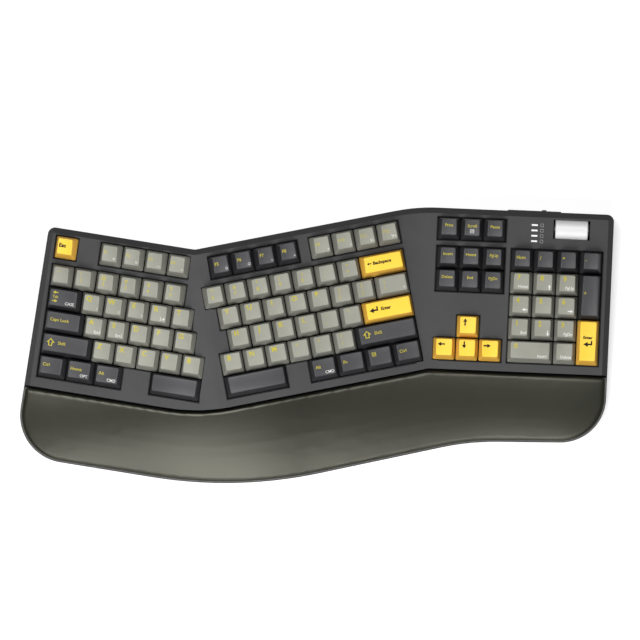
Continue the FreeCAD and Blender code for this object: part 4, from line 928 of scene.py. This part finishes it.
def well_shade_ribbon(block):
    """Mesh of the painted shade ribbons round a block's wells, and the level of its deck."""
    shape = merged_copy("top_case")
    shape.normal_update()
    deck, level = deck_faces(shape, block)
    places = well_places(shape, deck, block)
    ribbon = bmesh.ops.inset_region(shape, faces=deck, thickness=WELL_LINE,
                                    use_boundary=True)["faces"]
    kept = {face for face in ribbon if any(rough_place(edge) in places for edge in face.edges)}
    rest = [face for face in shape.faces if face not in kept]
    bmesh.ops.delete(shape, geom=rest, context="FACES")
    bmesh.ops.translate(shape, verts=shape.verts[:], vec=blocks[block].col[2] * LIFT)
    return mesh_of(shape, "ribbon"), level


deck_level = {}
painted_well_shade = bmesh.new()
for block in blocks:
    mesh, deck_level[block] = well_shade_ribbon(block)
    painted_well_shade.from_mesh(mesh)
    print(block, "deck at", round(deck_level[block] / MM, 2), "mm has", len(mesh.polygons),
          "faces of well edge")
    bpy.data.meshes.remove(mesh)
# A dark sheet of painted shade along the well edges, not a part of the case.
well_shade_paint = moulded_plastic("well_shade_paint", "#171718", "#1c1c1d", 0.6, 0.30 * MM, 0.012 * MM)
add_piece("well_shade_lines", painted_well_shade, well_shade_paint, body_of["top_case"])

# %% [markdown]
# Beside each indicator lamp a thin square is printed on the deck. It takes its place from the
# lenses and its level from the deck. A one-face grid is inset and its middle taken out, which
# leaves the line.

# %% Lamp signs
LAMPS = 4
LENS_DEPTH = 1.4 * MM
SQUARE = 2.6 * MM
SQUARE_LINE = 0.32 * MM
SQUARE_REACH = 3.6 * MM

lamp_low, lamp_high = span("indicator_lenses", "right")
lamp_pitch = (lamp_high.y - lamp_low.y - LENS_DEPTH) / (LAMPS - 1)
shape = bmesh.new()
for number in range(LAMPS):
    centre = Vector((lamp_high.x + SQUARE_REACH,
                     lamp_high.y - LENS_DEPTH / 2 - number * lamp_pitch,
                     deck_level["right"] + 2 * LIFT))
    place = Matrix.Translation(blocks["right"] @ centre) @ blocks["right"].to_4x4()
    corners = bmesh.ops.create_grid(shape, x_segments=1, y_segments=1, size=SQUARE / 2,
                                    matrix=place)["verts"]
    square = list({face for vertex in corners for face in vertex.link_faces})
    bmesh.ops.inset_region(shape, faces=square, thickness=SQUARE_LINE, use_boundary=True)
    bmesh.ops.delete(shape, geom=square, context="FACES_ONLY")
grey_ink = printed_ink("grey_ink", "#a8a8a8", "#b2b2b2")
add_piece("lamp_signs", shape, grey_ink, body_of["top_case"])
print("lamp squares are", round(lamp_pitch / MM, 2), "mm apart")

# %% [markdown]
# The roller is a turned and brushed aluminium drum. The brushing runs round it, across the
# light, so the highlight spreads along its length. Its finish is only a little metallic, because
# the drum in the photograph is nearly white all over, and a full mirror of the dim world isn't.
# Screws and the socket's shell are plated steel.

# %% Metal finishes
METAL_LINE = 1.0 * MM


def metal(name, colour, roughness, stretch, depth, metallic=1.0):
    """Metal whose fine lines are stretched along some axes of the object."""
    material, tree, shader, place = new_finish(name, roughness, metallic)
    mapping = tree.nodes.new("ShaderNodeMapping")
    mapping.inputs["Scale"].default_value = stretch
    tree.links.new(place, mapping.inputs["Vector"])
    lines = noise(tree, mapping.outputs["Vector"], METAL_LINE, 3.0)
    shader.inputs["Base Color"].default_value = shade(colour)
    relief(tree, shader, lines, depth)
    return material


brushed = metal("brushed_aluminium", "#e0e0e0", 0.5, (0.08, 1.6, 1.6), 0.05 * MM, metallic=0.2)
plated = metal("plated_steel", "#b4b4b2", 0.28, (1.0, 1.0, 1.0), 0.004 * MM)
dress("roller", brushed)
steel_nodes = [node for node, slot in slot_of.items() if slot in ("screw", "socket")]
for node in steel_nodes:
    dress(node, plated)
print("the roller is brushed, and", len(steel_nodes), "CAD nodes are plated")

# %% [markdown]
# The palm rest is a foam cushion in black leatherette. It stands for the CAD cushion and starts
# from it: the CAD solid is closed up, rebuilt as even small faces, and smoothed, which rounds
# its chamfers into the soft edge that stretched leatherette takes over foam. The underside stays
# flat, because it is glued to the base.

# %% Cushion
CUSHION_VOXEL = 1.3 * MM
SMOOTHING = 0.5
SMOOTHING_ROUNDS = 4
cushion_low, cushion_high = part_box("palm_rest_cushion")
cushion = add_object("palm_rest_leatherette",
                     mesh_of(merged_copy("palm_rest_cushion"), "palm_rest_leatherette"))
remesh = cushion.modifiers.new("remesh", "REMESH")
remesh.mode = "VOXEL"
remesh.voxel_size = CUSHION_VOXEL
remesh.use_smooth_shade = True
soften = cushion.modifiers.new("soften", "SMOOTH")
soften.factor = SMOOTHING
soften.iterations = SMOOTHING_ROUNDS
graph = bpy.context.evaluated_depsgraph_get()
cushion.data = bpy.data.meshes.new_from_object(cushion.evaluated_get(graph))
cushion.modifiers.clear()
print("CAD cushion", [round(high - low, 4) for low, high in zip(cushion_low, cushion_high)],
      "has", len(cushion.data.polygons), "faces now")

# %% [markdown]
# Leatherette is fabric with a skin of plastic. The pebbles of its grain come from a cell texture,
# and the skin is glossy enough for a broken sheen. The tint of the sheen is a little warm, as in
# the photograph. The tray's plastic goes on the base under it.

# %% Leatherette
PEBBLE = 0.9 * MM
PATCH = 30 * MM


def leatherette(name):
    """Coated fabric with an uneven tone, a pebbled grain and a soft broken sheen."""
    material, tree, shader, place = new_finish(name, 0.31)
    shader.inputs["Specular IOR Level"].default_value = 0.5
    shader.inputs["Specular Tint"].default_value = (1.0, 1.0, 0.84, 1.0)
    tone = mixed_colour(tree, noise(tree, place, PATCH, 3.0), "#14140f", "#1a1a14")
    tree.links.new(tone, shader.inputs["Base Color"])
    pebbles = tree.nodes.new("ShaderNodeTexVoronoi")
    pebbles.inputs["Scale"].default_value = 1 / PEBBLE
    tree.links.new(place, pebbles.inputs["Vector"])
    relief(tree, shader, pebbles.outputs["Distance"], 0.05 * MM, 0.5)
    return material


cushion.data.materials.clear()
cushion.data.materials.append(leatherette("leatherette"))
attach(cushion, body_of["palm_rest_cushion"])
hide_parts("palm_rest_cushion")
dress("palm_rest_base", tray_plastic)
print("the cushion rides on", body_of["palm_rest_cushion"])

# %% [markdown]
# The keyboard stands on a plain pale sheet. The sheet glows where the camera sees it, so that it
# is bright without more light on the keyboard, and it keeps the keyboard's soft shadow.

# %% Floor
FLOOR_SIZE = 16.0
FLOOR_LEVEL = -0.05 * MM
FLOOR_TONE = 0.6
FLOOR_GLOW = 0.66
shape = bmesh.new()
bmesh.ops.create_grid(shape, x_segments=1, y_segments=1, size=FLOOR_SIZE / 2)
floor = add_object("floor", mesh_of(shape, "floor"))
floor.location.z = FLOOR_LEVEL
paper, tree, shader, _ = new_finish("paper", 0.9)
shader.inputs["Base Color"].default_value = (FLOOR_TONE, FLOOR_TONE, FLOOR_TONE, 1.0)
shader.inputs["Emission Color"].default_value = (1.0, 1.0, 1.0, 1.0)
glow = tree.nodes.new("ShaderNodeMath")
glow.operation = "MULTIPLY"
glow.inputs[1].default_value = FLOOR_GLOW
tree.links.new(seen_or_mirrored(tree), glow.inputs[0])
tree.links.new(glow.outputs[0], shader.inputs["Emission Strength"])
floor.data.materials.append(paper)
print("the sheet is", FLOOR_SIZE, "m wide")
